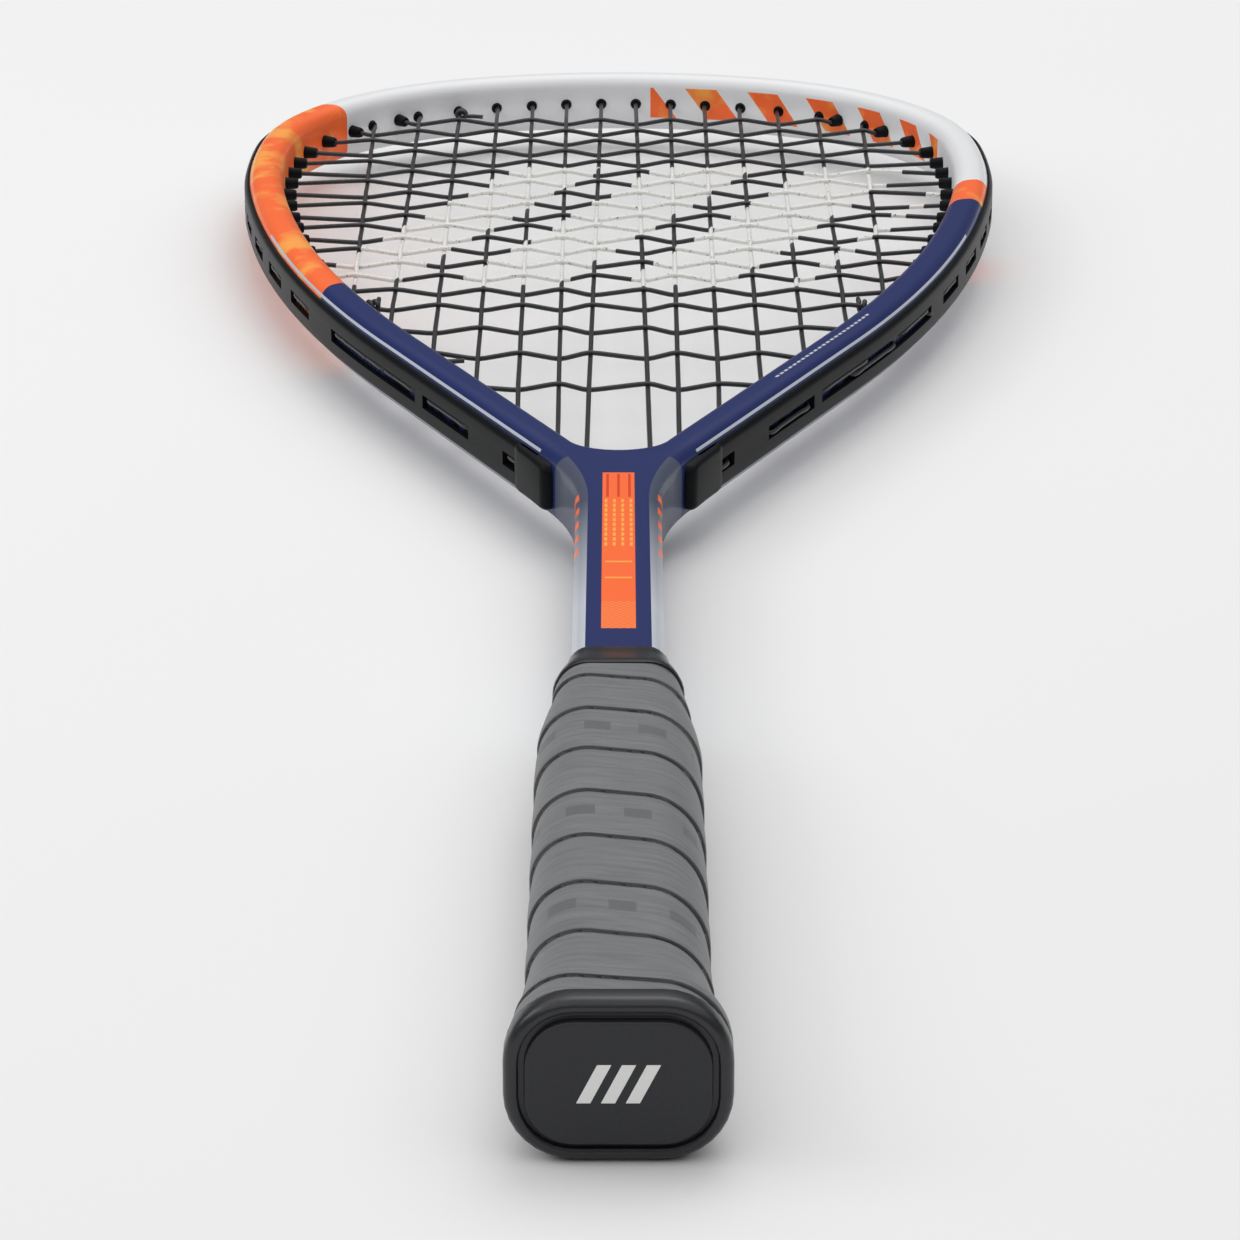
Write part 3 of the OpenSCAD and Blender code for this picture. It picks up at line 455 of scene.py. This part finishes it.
def strip(bm, reach, start, end, spans, side=1):
    """A strip along the frame with its windows sunk in; side is -1 on the left."""
    marks = {start, end}
    for span in spans:
        marks |= set(span)
    marks = sorted(marks)
    stations = [s for a, b in zip(marks, marks[1:]) for s in evenly(a, b, 2.6)[:-1]] + [end]
    if side < 0:
        stations = [-s for s in reversed(stations)]
    made = set(along_frame(bm, strip_section(reach), stations))
    along, out = bm.verts.layers.float["along"], bm.verts.layers.float["out"]
    for v in [v for v in made if reach > STRIP_OUT and v[out] > 5]:
        fade = min(1, max(0, 1 - (JOINT_S - abs(v[along])) / FADE_L))
        v.co -= (frame_at(v[along]).to_3x3() @ Vector((1, 0, 0))) * fade * (reach - STRIP_OUT)
    bmesh.ops.recalc_face_normals(bm, faces=bm.faces)
    for low, high in spans:
        sunk = [f for f in bm.faces if set(f.verts) <= made and all(
            abs(v[out] - reach) < 0.01 and abs(v.co.z) < 2
            and low - 0.01 < side * v[along] < high + 0.01 for v in f.verts)]
        if sunk:
            bmesh.ops.inset_region(bm, faces=sunk, thickness=0.25, depth=0, use_even_offset=True)
            bmesh.ops.inset_region(bm, faces=sunk, thickness=0.12, depth=-1.4, use_even_offset=True)


def barrel(bm, s, stand):
    """A tapered tube lining one string hole, turned about the hole's axis."""
    tip = -TUBE_W / 2 - stand
    bore_r = 0.78
    profile = [(tip + 2, bore_r), (tip, bore_r), (tip, 1.25), (tip + 0.5, 1.5),
               (-TUBE_W / 2 + 0.4, 1.85), (-TUBE_W / 2 + 0.9, 1.85)]
    points = [bm.verts.new((px, 0, pr)) for px, pr in profile]
    lines = [bm.edges.new(pair) for pair in zip(points, points[1:])]
    bmesh.ops.spin(bm, geom=points + lines, cent=(0, 0, 0), axis=(1, 0, 0),
                   angle=2 * math.pi, steps=18, use_merge=True)
    mine = set(points) | {v for e in lines for f in e.link_faces for v in f.verts}
    grow = list(mine)
    while grow:
        for e in grow.pop().link_edges:
            for v in e.verts:
                if v not in mine:
                    mine.add(v)
                    grow.append(v)
    bmesh.ops.transform(bm, matrix=frame_at(s), verts=list(mine))


# Injection-moulded nylon: charcoal, with the fine even grain of a spark-eroded mould.
nylon, tree = new_material("moulded_nylon")
mm = in_millimetres(tree)
grain = add(tree, "TexNoise", {"Vector": mm, "Scale": 1.6, "Detail": 3})
shade = add(tree, "TexNoise", {"Vector": mm, "Scale": 0.05, "Detail": 2})
tone = painted(tree, linear("#0E0F11"), (shade.outputs["Fac"], linear("#16181A")))
bump = add(tree, "Bump", {"Height": grain.outputs["Fac"], "Strength": 0.25, "Distance": 0.0001})
shell = add(tree, "BsdfPrincipled", {"Base Color": tone, "Roughness": 0.36, "IOR": 1.53,
                                     "Specular IOR Level": 0.06,
                                     "Normal": bump.outputs[0]})
add(tree, "OutputMaterial", {"Surface": shell.outputs[0]})

for side, name, runs in ((1, "right", RIGHT_RUNS), (-1, "left", LEFT_RUNS + [END_RUN])):
    bm = bmesh.new()
    strip(bm, STRIP_OUT, JOINT_S + JOINT_GAP, LEG_END, windows(runs + LEG_RUNS, JOINT_S, LEG_END), side)
    tab = [(LEG_END - 11, 5.9, 5.4), (LEG_END - 9.5, 6.5, 5.5), (LEG_END - 7, TAB_OUT - 0.1, 5.5),
           (LEG_END, TAB_OUT, 5.5), (TAB_S - 3, TAB_OUT + 0.1, 5.5),
           (TAB_S - 1.6, TAB_OUT - 0.1, 5.3),
           (TAB_S - 0.6, TAB_OUT - 0.7, 4.7), (TAB_S - 0.1, TAB_OUT - 1.6, 3.7), (TAB_S, 4.6, 3)]
    lofted(bm, [[frame_at(side * s) @ Vector((px, 0, pz)) for px, pz in (
        (3.8, -tall), (reach - 1, -tall), (reach - 0.3, -tall + 0.5), (reach, -tall + 1.2),
        (reach, tall - 1.2), (reach - 0.3, tall - 0.5), (reach - 1, tall), (3.8, tall))]
        for s, reach, tall in tab])
    for s in [s for s in CROSS_S if s > JOINT_S]:
        barrel(bm, side * s, CROSS_STAND)
    for s in LEG_S[1:]:
        barrel(bm, side * s, LEG_STAND)
    barrel(bm, side * LEG_S[0], 0.6)
    show(bm, "grommets_" + name, nylon, "strip", "grommet_strip_" + name)

bm = bmesh.new()
strip(bm, BUMPER_OUT, 0, JOINT_S - JOINT_GAP,
      windows([(-2, TIP_S[0])] + TIP_RUNS + RIGHT_RUNS, -9, JOINT_S), 1)
strip(bm, BUMPER_OUT, 0, JOINT_S - JOINT_GAP,
      windows([(-2, TIP_S[0])] + TIP_RUNS + LEFT_RUNS + [START_RUN], -9, JOINT_S), -1)
for side in (1, -1):
    for s in TIP_S:
        barrel(bm, side * s, TIP_STAND)
    for s in [s for s in CROSS_S if s <= JOINT_S]:
        barrel(bm, side * s, CROSS_STAND)
show(bm, "bumper", nylon, "strip", "bumper_guard")


# The strings: one length for the mains and one for the crosses, each threaded in and out.
# They are coated multifilament, drawn tight, and their ends are knotted round a neighbour.
STRING_R = 0.625
RUN_OUT = 4.72 + STRING_R
MAIN_WEAVE, CROSS_WEAVE = 0.5, 0.81


def mouth(s, stand):
    """Where the string leaves the barrel at station s."""
    return frame_at(s) @ Vector((-TUBE_W / 2 - stand - 0.2, 0, 0))


def outside(a, stand_a, b, stand_b, lift):
    """Out through one hole, along the outside of the frame, and in through another."""
    points = [mouth(a, stand_a), frame_at(a) @ Vector((RUN_OUT - 2.2, 0, 0))]
    points += [frame_at(s) @ Vector((RUN_OUT, 0, lift)) for s in evenly(a + (1 if b > a else -1),
                                                                       b - (1 if b > a else -1), 7)]
    return points + [frame_at(b) @ Vector((RUN_OUT - 2.2, 0, 0)), mouth(b, stand_b)]


def main_at(i, y_at):
    """X of main i of the right half at height y."""
    top, low = mouth(TIP_S[i], TIP_STAND), mouth(LEG_S[i], LEG_STAND)
    return low.x + (top.x - low.x) * (y_at - low.y) / (top.y - low.y)


def main_bed(i):
    """Main i from the tip down, over and under the crosses."""
    top, low = mouth(TIP_S[i], TIP_STAND), mouth(LEG_S[i], LEG_STAND)
    return [Vector((main_at(i, y_at), y_at, MAIN_WEAVE if (i + j) % 2 == 0 else -MAIN_WEAVE))
            for j, y_at in enumerate(CROSS_Y) if low.y + 3 < y_at < top.y - 3]


def knot(at, forward, away, turn):
    """Two turns round the neighbouring string, and a short tail that stands clear."""
    side, reach = forward.cross(away), STRING_R * 2.1
    points = [at + forward * (k * 0.24) + reach * (math.cos(k) * away + turn * math.sin(k) * side)
              for k in [k * math.pi / 3 for k in range(13)]]
    base = at + forward * 3.25
    tail = [base + (reach + 2.5) * away + forward * 0.6, base + (reach + 5) * away + forward * 1.4]
    return points + tail


def string(name, points, material, *nodes):
    """A tight round string: straight between its points, with a short stiff bend at each."""
    curve = bpy.data.curves.new(name, "CURVE")
    curve.dimensions = "3D"
    curve.resolution_u = 4
    curve.bevel_depth = STRING_R / 1000
    curve.bevel_resolution = 2
    curve.use_fill_caps = True
    spline = curve.splines.new("BEZIER")
    spline.bezier_points.add(len(points) - 1)
    for i, bend in enumerate(spline.bezier_points):
        before, at, after = points[max(i - 1, 0)], points[i], points[min(i + 1, len(points) - 1)]
        way = (after - before).normalized()
        bend.co = at / 1000
        bend.handle_left_type = bend.handle_right_type = "FREE"
        bend.handle_left = (at - way * min(1.6, 0.35 * (at - before).length)) / 1000
        bend.handle_right = (at + way * min(1.6, 0.35 * (after - at).length)) / 1000
    piece = bpy.data.objects.new(name, curve)
    curve.materials.append(material)
    scene.collection.objects.link(piece)
    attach(piece, "root")
    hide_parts(*nodes)


# Coated multifilament: black, a little glossy, with faint lengthwise streaks of the fibres.
# A pale inked stencil of three plain slanting bars crosses the middle of the bed.
gut, tree = new_material("coated_multifilament")
mm = in_millimetres(tree)
fibre = add(tree, "TexNoise", {"Vector": mm, "Scale": 1.1, "Detail": 4, "Roughness": 0.7})
tone = painted(tree, linear("#101113"), (fibre.outputs["Fac"], linear("#2A2C30")))
x, y, z = add(tree, "SeparateXYZ", {0: mm}).outputs
slant = add(tree, "Math", {0: y, 1: -0.45, 2: x}, operation="MULTIPLY_ADD").outputs[0]
beat = add(tree, "Math", {0: slant, 1: 44.0, 2: 0.0}, operation="WRAP").outputs[0]
worn = add(tree, "MapRange", {"Value": fibre.outputs["Fac"], "From Min": 0.3, "From Max": 0.42})
stencil = area(tree, (beat, 22, 14), (y, 532, 62), (slant, -230, 66), worn.outputs[0])
colour = painted(tree, tone, (stencil, linear("#E6E6E2")))
bump = add(tree, "Bump", {"Height": fibre.outputs["Fac"], "Strength": 0.2, "Distance": 0.0001})
skin = add(tree, "BsdfPrincipled", {"Base Color": colour, "Roughness": 0.38, "IOR": 1.5,
                                    "Normal": bump.outputs[0]})
add(tree, "OutputMaterial", {"Surface": skin.outputs[0]})

LIFT = STRING_R + 0.1
half = [frame_at(TIP_S[0] * k) @ Vector((RUN_OUT, 0, -LIFT * k)) for k in (0, 0.4, 0.9)]
half += [frame_at(TIP_S[0]) @ Vector((RUN_OUT - 2.2, 0, 0)), mouth(TIP_S[0], TIP_STAND)]
for i in range(7):
    half += main_bed(i) if i % 2 == 0 else main_bed(i)[::-1]
    if i == 6:
        half += outside(LEG_S[6], LEG_STAND, CROSS_S[-4], CROSS_STAND, -LIFT)
    elif i % 2 == 0:
        half += outside(LEG_S[i], LEG_STAND, LEG_S[i + 1], LEG_STAND, -LIFT)
    else:
        half += outside(TIP_S[i], TIP_STAND, TIP_S[i + 1], TIP_STAND, -LIFT)
facing = frame_at(CROSS_S[-4]).to_3x3() @ Vector((1, 0, 0))
half += knot(mouth(CROSS_S[-4], CROSS_STAND + 1.6), -facing, Vector((-facing.y, facing.x, 0)), 1)
string("mains", [Vector((-p.x, p.y, -p.z)) for p in reversed(half)] + half[1:], gut, "main_string")


def cross_bed(j):
    """Cross j from left to right, over and under every main it meets."""
    edge_x = mouth(CROSS_S[j], CROSS_STAND).x
    points = []
    for c in [c for c in range(-7, 8) if c]:
        i, side = abs(c) - 1, math.copysign(1, c)
        if main_at(i, CROSS_Y[j]) < edge_x - 2:
            over = 1 if (i + j) % 2 == 0 else -1
            x_at = side * main_at(i, CROSS_Y[j])
            points.append(Vector((x_at, CROSS_Y[j], -side * over * CROSS_WEAVE)))
    return points


def on_the_left(points):
    """The same points on the left half."""
    return [Vector((-p.x, p.y, p.z)) for p in points]


first_knot = knot(mouth(TIP_S[4], TIP_STAND + 1.6), Vector((0, -1, 0)), Vector((-1, 0, 0)), 1)
route = on_the_left(first_knot)[::-1]
route += on_the_left(outside(TIP_S[4], TIP_STAND, CROSS_S[0], CROSS_STAND, LIFT))
for j in range(20):
    route += cross_bed(j) if j % 2 == 0 else cross_bed(j)[::-1]
    if j == 19:
        route += on_the_left(outside(CROSS_S[j], CROSS_STAND, LEG_S[4], LEG_STAND, LIFT))
    elif j % 2 == 0:
        route += outside(CROSS_S[j], CROSS_STAND, CROSS_S[j + 1], CROSS_STAND, LIFT)
    else:
        route += on_the_left(outside(CROSS_S[j], CROSS_STAND, CROSS_S[j + 1], CROSS_STAND, LIFT))
route += on_the_left(knot(mouth(LEG_S[4], LEG_STAND + 1.6), Vector((0, 1, 0)), Vector((-1, 0, 0)), 1))
string("crosses", route, gut, "cross_string")


# The handle's core and its fasteners are hidden: foam pallets glued round the shaft,
# two wire staples through the cap, and the tack under the start of the grip.
foam, tree = new_material("rigid_foam")
coords = add(tree, "TexCoord").outputs["Object"]
cells = add(tree, "TexVoronoi", {"Vector": coords, "Scale": 1400})
tone = painted(tree, linear("#E2D8B6"), (cells.outputs["Distance"], linear("#C9BD97")))
body = add(tree, "BsdfPrincipled", {"Base Color": tone, "Roughness": 0.85})
add(tree, "OutputMaterial", {"Surface": body.outputs[0]})

# Drawn steel wire: bright, with fine lengthwise die marks.
wire, tree = new_material("drawn_steel_wire")
coords = add(tree, "TexCoord").outputs["Object"]
drawn = add(tree, "TexNoise", {"Vector": coords, "Scale": 4000, "Detail": 2})
tone = painted(tree, linear("#A9ADB1"), (drawn.outputs["Fac"], linear("#C4C7CA")))
body = add(tree, "BsdfPrincipled", {"Base Color": tone, "Metallic": 1, "Roughness": 0.3})
add(tree, "OutputMaterial", {"Surface": body.outputs[0]})
for node, finish in (("pallet_left", foam), ("pallet_right", foam),
                     ("cap_staples", wire), ("grip_tack", wire)):
    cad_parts[node].material_slots[0].material = finish


# The butt cap: moulded rubbery plastic, pushed over the pallets and stapled.
# Its end has a polished rim, a groove, and a flat panel standing a little proud.
CAP_W, CAP_H, CAP_R = 37.4, 28.8, 11.5
moulding, tree = new_material("moulded_rubbery_plastic")
mm = in_millimetres(tree)
x, y, z = add(tree, "SeparateXYZ", {0: mm}).outputs
grain = add(tree, "TexNoise", {"Vector": mm, "Scale": 1.4, "Detail": 3})
tone = painted(tree, linear("#1D1E21"), (grain.outputs["Fac"], linear("#27282C")))
slant = add(tree, "Math", {0: z, 1: -0.5, 2: x}, operation="MULTIPLY_ADD").outputs[0]
bar = add(tree, "Math", {0: slant, 1: 2.0, 2: -2.0}, operation="WRAP").outputs[0]
mark = area(tree, (bar, 0, 1.15), (slant, 0, 6), (z, 0, 3.4), (y, 0, 0.3))
colour = painted(tree, tone, (mark, linear("#F0F0EE")))
polish = add(tree, "MapRange", {"Value": y, "From Min": 0.2, "From Max": 0.7, "To Min": 0.55,
                                "To Max": 0.33}).outputs[0]
bump = add(tree, "Bump", {"Height": grain.outputs["Fac"], "Strength": 0.2, "Distance": 0.0001})
body = add(tree, "BsdfPrincipled", {"Base Color": colour, "Roughness": polish, "IOR": 1.5,
                                    "Normal": bump.outputs[0]})
add(tree, "OutputMaterial", {"Surface": body.outputs[0]})


def handle_ring(y_at, w, h, r):
    """A rounded outline round the handle, y_at mm from the butt."""
    return [Vector((px, y_at, pz)) for px, pz in rounded(w, h, r, 8)]


bm = bmesh.new()
steps = ((0, 7.8), (0, 7.5), (0.12, 7.22), (0.4, 7.1), (1.7, 7.0), (1.8, 6.8), (1.8, 5.0),
         (1.7, 4.85), (1.05, 4.7), (0.85, 4.4), (0.8, 2.8), (0.86, 2.1), (1.3, 0.9), (1.9, 0.25),
         (2.6, 0), (5.1, 0), (5.5, 0.15), (5.75, 0.5), (5.9, 1.2), (6, 4.4))  # y, and how much smaller
lofted(bm, [handle_ring(y_at, CAP_W - shrink, CAP_H - shrink, CAP_R - shrink / 2)
            for y_at, shrink in steps])
show(bm, "end_cap", moulding, "cap", "butt_cap", sharp=50)


# The grip: a strip of dark grey polyurethane tape wound from the cap upwards, each turn
# lapping over the one before. It is tacked at the cap and stuck down all the way.
PITCH, LAP_Y = 20.6, 5.6
GRIP_FLOOR, GRIP_TOP = 5.9, 166.0
CORE = ((6, 34.0, 25.4, 9.8), (10, 34.0, 25.4, 9.8), (19, 30.2, 23.5, 9.9), (27, 29.0, 23.3, 9.85),
        (30, 28.3, 22.6, 9.5), (134, 28.3, 22.6, 9.5), (142, 27.5, 22.1, 9.5), (168, 20.3, 18.1, 4.4))


def core_at(y_at):
    """Width, height and corner radius of what the tape is wound on."""
    y_at = min(max(y_at, CORE[0][0]), CORE[-1][0])
    for low, high in zip(CORE, CORE[1:]):
        if y_at <= high[0]:
            k = (y_at - low[0]) / (high[0] - low[0])
            return [a + (b - a) * k for a, b in zip(low[1:], high[1:])]


def round_core(w, h, r, turn):
    """The point and outward way on a rounded outline, a share of a turn from its right side."""
    flat_w, flat_h, bend = w - 2 * r, h - 2 * r, math.pi / 2 * r
    reach = (turn % 1) * (2 * (flat_w + flat_h) + 4 * bend) + flat_h / 2
    for quarter in range(5):
        side = flat_h if quarter % 2 == 0 else flat_w
        a = math.pi / 2 * quarter
        n = Vector((math.cos(a), 0, math.sin(a)))
        t = Vector((-math.sin(a), 0, math.cos(a)))
        half = w / 2 if quarter % 2 == 0 else h / 2
        if reach <= side:
            return n * half + t * (reach - side / 2), n
        reach -= side
        if reach <= bend:
            b = a + reach / r
            n2 = Vector((math.cos(b), 0, math.sin(b)))
            return n * (half - r) + t * (side / 2) + n2 * r, n2
        reach -= bend


# Embossed polyurethane: matt, soft, dimpled by its felt backing, creased where it is pulled; painted
# shade darkens its creases and laps.
grip_skin, tree = new_material("embossed_polyurethane")
mm = in_millimetres(tree)
lap = add(tree, "Attribute", attribute_name="lap").outputs["Fac"]
wound = add(tree, "Attribute", attribute_name="wound").outputs["Fac"]
pulled = add(tree, "CombineXYZ", {0: wound, 1: lap, 2: 0.0}).outputs[0]
pulled = add(tree, "Mapping", {"Vector": pulled, "Scale": (0.1, 1, 1)}).outputs[0]
crease_relief_and_shade = add(tree, "TexNoise", {"Vector": pulled, "Scale": 0.7, "Detail": 4, "Roughness": 0.65})
pore = add(tree, "TexNoise", {"Vector": mm, "Scale": 2.4, "Detail": 2})
# Painted shade in the creases: the colour follows the crease height, darker in the hollows.
tone = add(tree, "ValToRGB", {0: crease_relief_and_shade.outputs["Fac"]})
tone.color_ramp.elements[0].position = 0.3
tone.color_ramp.elements[0].color = linear("#5E5F61")
tone.color_ramp.elements[1].position = 0.72
tone.color_ramp.elements[1].color = linear("#777879")
beat = add(tree, "Math", {0: wound, 1: 11.0}, operation="MODULO").outputs[0]
turn = add(tree, "Math", {0: wound, 1: 190.0}, operation="MODULO").outputs[0]
stamp = area(tree, (beat, 4.0, 2.6), (lap, 11.0, 2.2), (turn, 50, 42))
# Painted shadow: a darker line where each turn of tape meets the next, as the step between them falls
# in shade.
lap_edge_shadow = area(tree, (lap, 0.0, 0.32))
colour = painted(tree, tone.outputs[0], (stamp, linear("#58595B")), (lap_edge_shadow, linear("#3B3C3E")))
height = add(tree, "Math", {0: pore.outputs["Fac"], 1: 0.25, 2: crease_relief_and_shade.outputs["Fac"]},
             operation="MULTIPLY_ADD").outputs[0]
height = add(tree, "Math", {0: stamp, 1: -1.6, 2: height}, operation="MULTIPLY_ADD").outputs[0]
bump = add(tree, "Bump", {"Height": height, "Strength": 0.7, "Distance": 0.00035})
hide = add(tree, "BsdfPrincipled", {"Base Color": colour, "Roughness": 0.56, "IOR": 1.5,
                                    "Sheen Weight": 0.12, "Normal": bump.outputs[0]})
add(tree, "OutputMaterial", {"Surface": hide.outputs[0]})

bm = bmesh.new()
lap_layer = bm.verts.layers.float.new("lap")
wound_layer = bm.verts.layers.float.new("wound")
tape = [(0, 0.95), (0.02, 1.3), (0.15, 1.5), (0.45, 1.62), (1.2, 1.68), (4, 1.66), (8, 1.6), (13, 1.46),
        (18, 1.2), (20, 1.02), (PITCH, 0.95)]
points = [bm.verts.new((10 + t, LAP_Y - PITCH + v, 0)) for v, t in tape]
for p, (v, t) in zip(points, tape):
    p[lap_layer] = v
lines = [bm.edges.new(pair) for pair in zip(points, points[1:])]
turns, per_turn = 10, 72
bmesh.ops.spin(bm, geom=points + lines, cent=(0, 0, 0), axis=(0, -1, 0), angle=2 * math.pi * turns,
               steps=turns * per_turn, dvec=(0, PITCH / per_turn, 0))
for v in bm.verts:
    share = (v.co.y - v[lap_layer] - LAP_Y + PITCH) / PITCH
    v[wound_layer] = share * 95.0
    at, outwards = round_core(*core_at(v.co.y), share)
    thickness = math.hypot(v.co.x, v.co.z) - 10
    v.co = at + outwards * thickness + Vector((0, v.co.y, 0))
bmesh.ops.remove_doubles(bm, verts=bm.verts, dist=0.005)
for y_at, way in ((GRIP_FLOOR + 0.15, -1), (GRIP_TOP, 1)):
    cut = bmesh.ops.bisect_plane(bm, geom=bm.verts[:] + bm.edges[:] + bm.faces[:],
                                 plane_co=(0, y_at, 0), plane_no=(0, way, 0),
                                 clear_outer=True)["geom_cut"]
    rim = [g for g in cut if isinstance(g, bmesh.types.BMEdge)]
    bmesh.ops.edgeloop_fill(bm, edges=rim)
show(bm, "grip_tape", grip_skin, "grip", "base_grip")


# The finishing tape: a smooth black vinyl band wound over the end of the grip and the shaft.
# Its own end lies across the top as a slanting edge.
vinyl, tree = new_material("smooth_vinyl_tape")
mm = in_millimetres(tree)
x, y, z = add(tree, "SeparateXYZ", {0: mm}).outputs
stretch = add(tree, "TexNoise", {"Vector": mm, "Scale": 0.25, "Detail": 2})
slant = add(tree, "Math", {0: x, 1: 0.45, 2: y}, operation="MULTIPLY_ADD").outputs[0]
# Painted highlight: a lighter line along the tape's slanting cut end, on its upper side, where the edge
# catches the light.
edge = area(tree, (slant, 170, 0.3), (z, 10, 9.5))
tone = painted(tree, linear("#17181A"), (stretch.outputs["Fac"], linear("#222326")))
step = add(tree, "Math", {0: slant, 1: 170.0}, operation="GREATER_THAN").outputs[0]
height = add(tree, "Math", {0: stretch.outputs["Fac"], 1: 0.3, 2: step},
             operation="MULTIPLY_ADD").outputs[0]
bump = add(tree, "Bump", {"Height": height, "Strength": 0.5, "Distance": 0.0003})
colour = painted(tree, tone, (edge, linear("#3A3B3E")))
body = add(tree, "BsdfPrincipled", {"Base Color": colour, "Roughness": 0.3, "IOR": 1.52,
                                    "Normal": bump.outputs[0]})
add(tree, "OutputMaterial", {"Surface": body.outputs[0]})

bm = bmesh.new()
wraps = ((163.2, 24.9, 21.9, 6.7), (163.25, 25.6, 22.6, 7.0), (163.8, 25.8, 22.8, 7.1),
         (166, 25.0, 22.2, 6.7), (168.5, 23.8, 21.2, 6.1), (171, 22.6, 20.2, 5.6),
         (173.5, 21.4, 19.2, 5.2), (175.5, 20.8, 18.7, 4.9), (177.5, 20.4, 18.3, 4.7),
         (177.9, 20.1, 18.1, 4.6), (178, 19.2, 17.2, 4.0))  # y, width, height, corner radius
lofted(bm, [handle_ring(*wrap) for wrap in wraps])
show(bm, "finishing_band", vinyl, "finishing_tape", "finishing_tape")
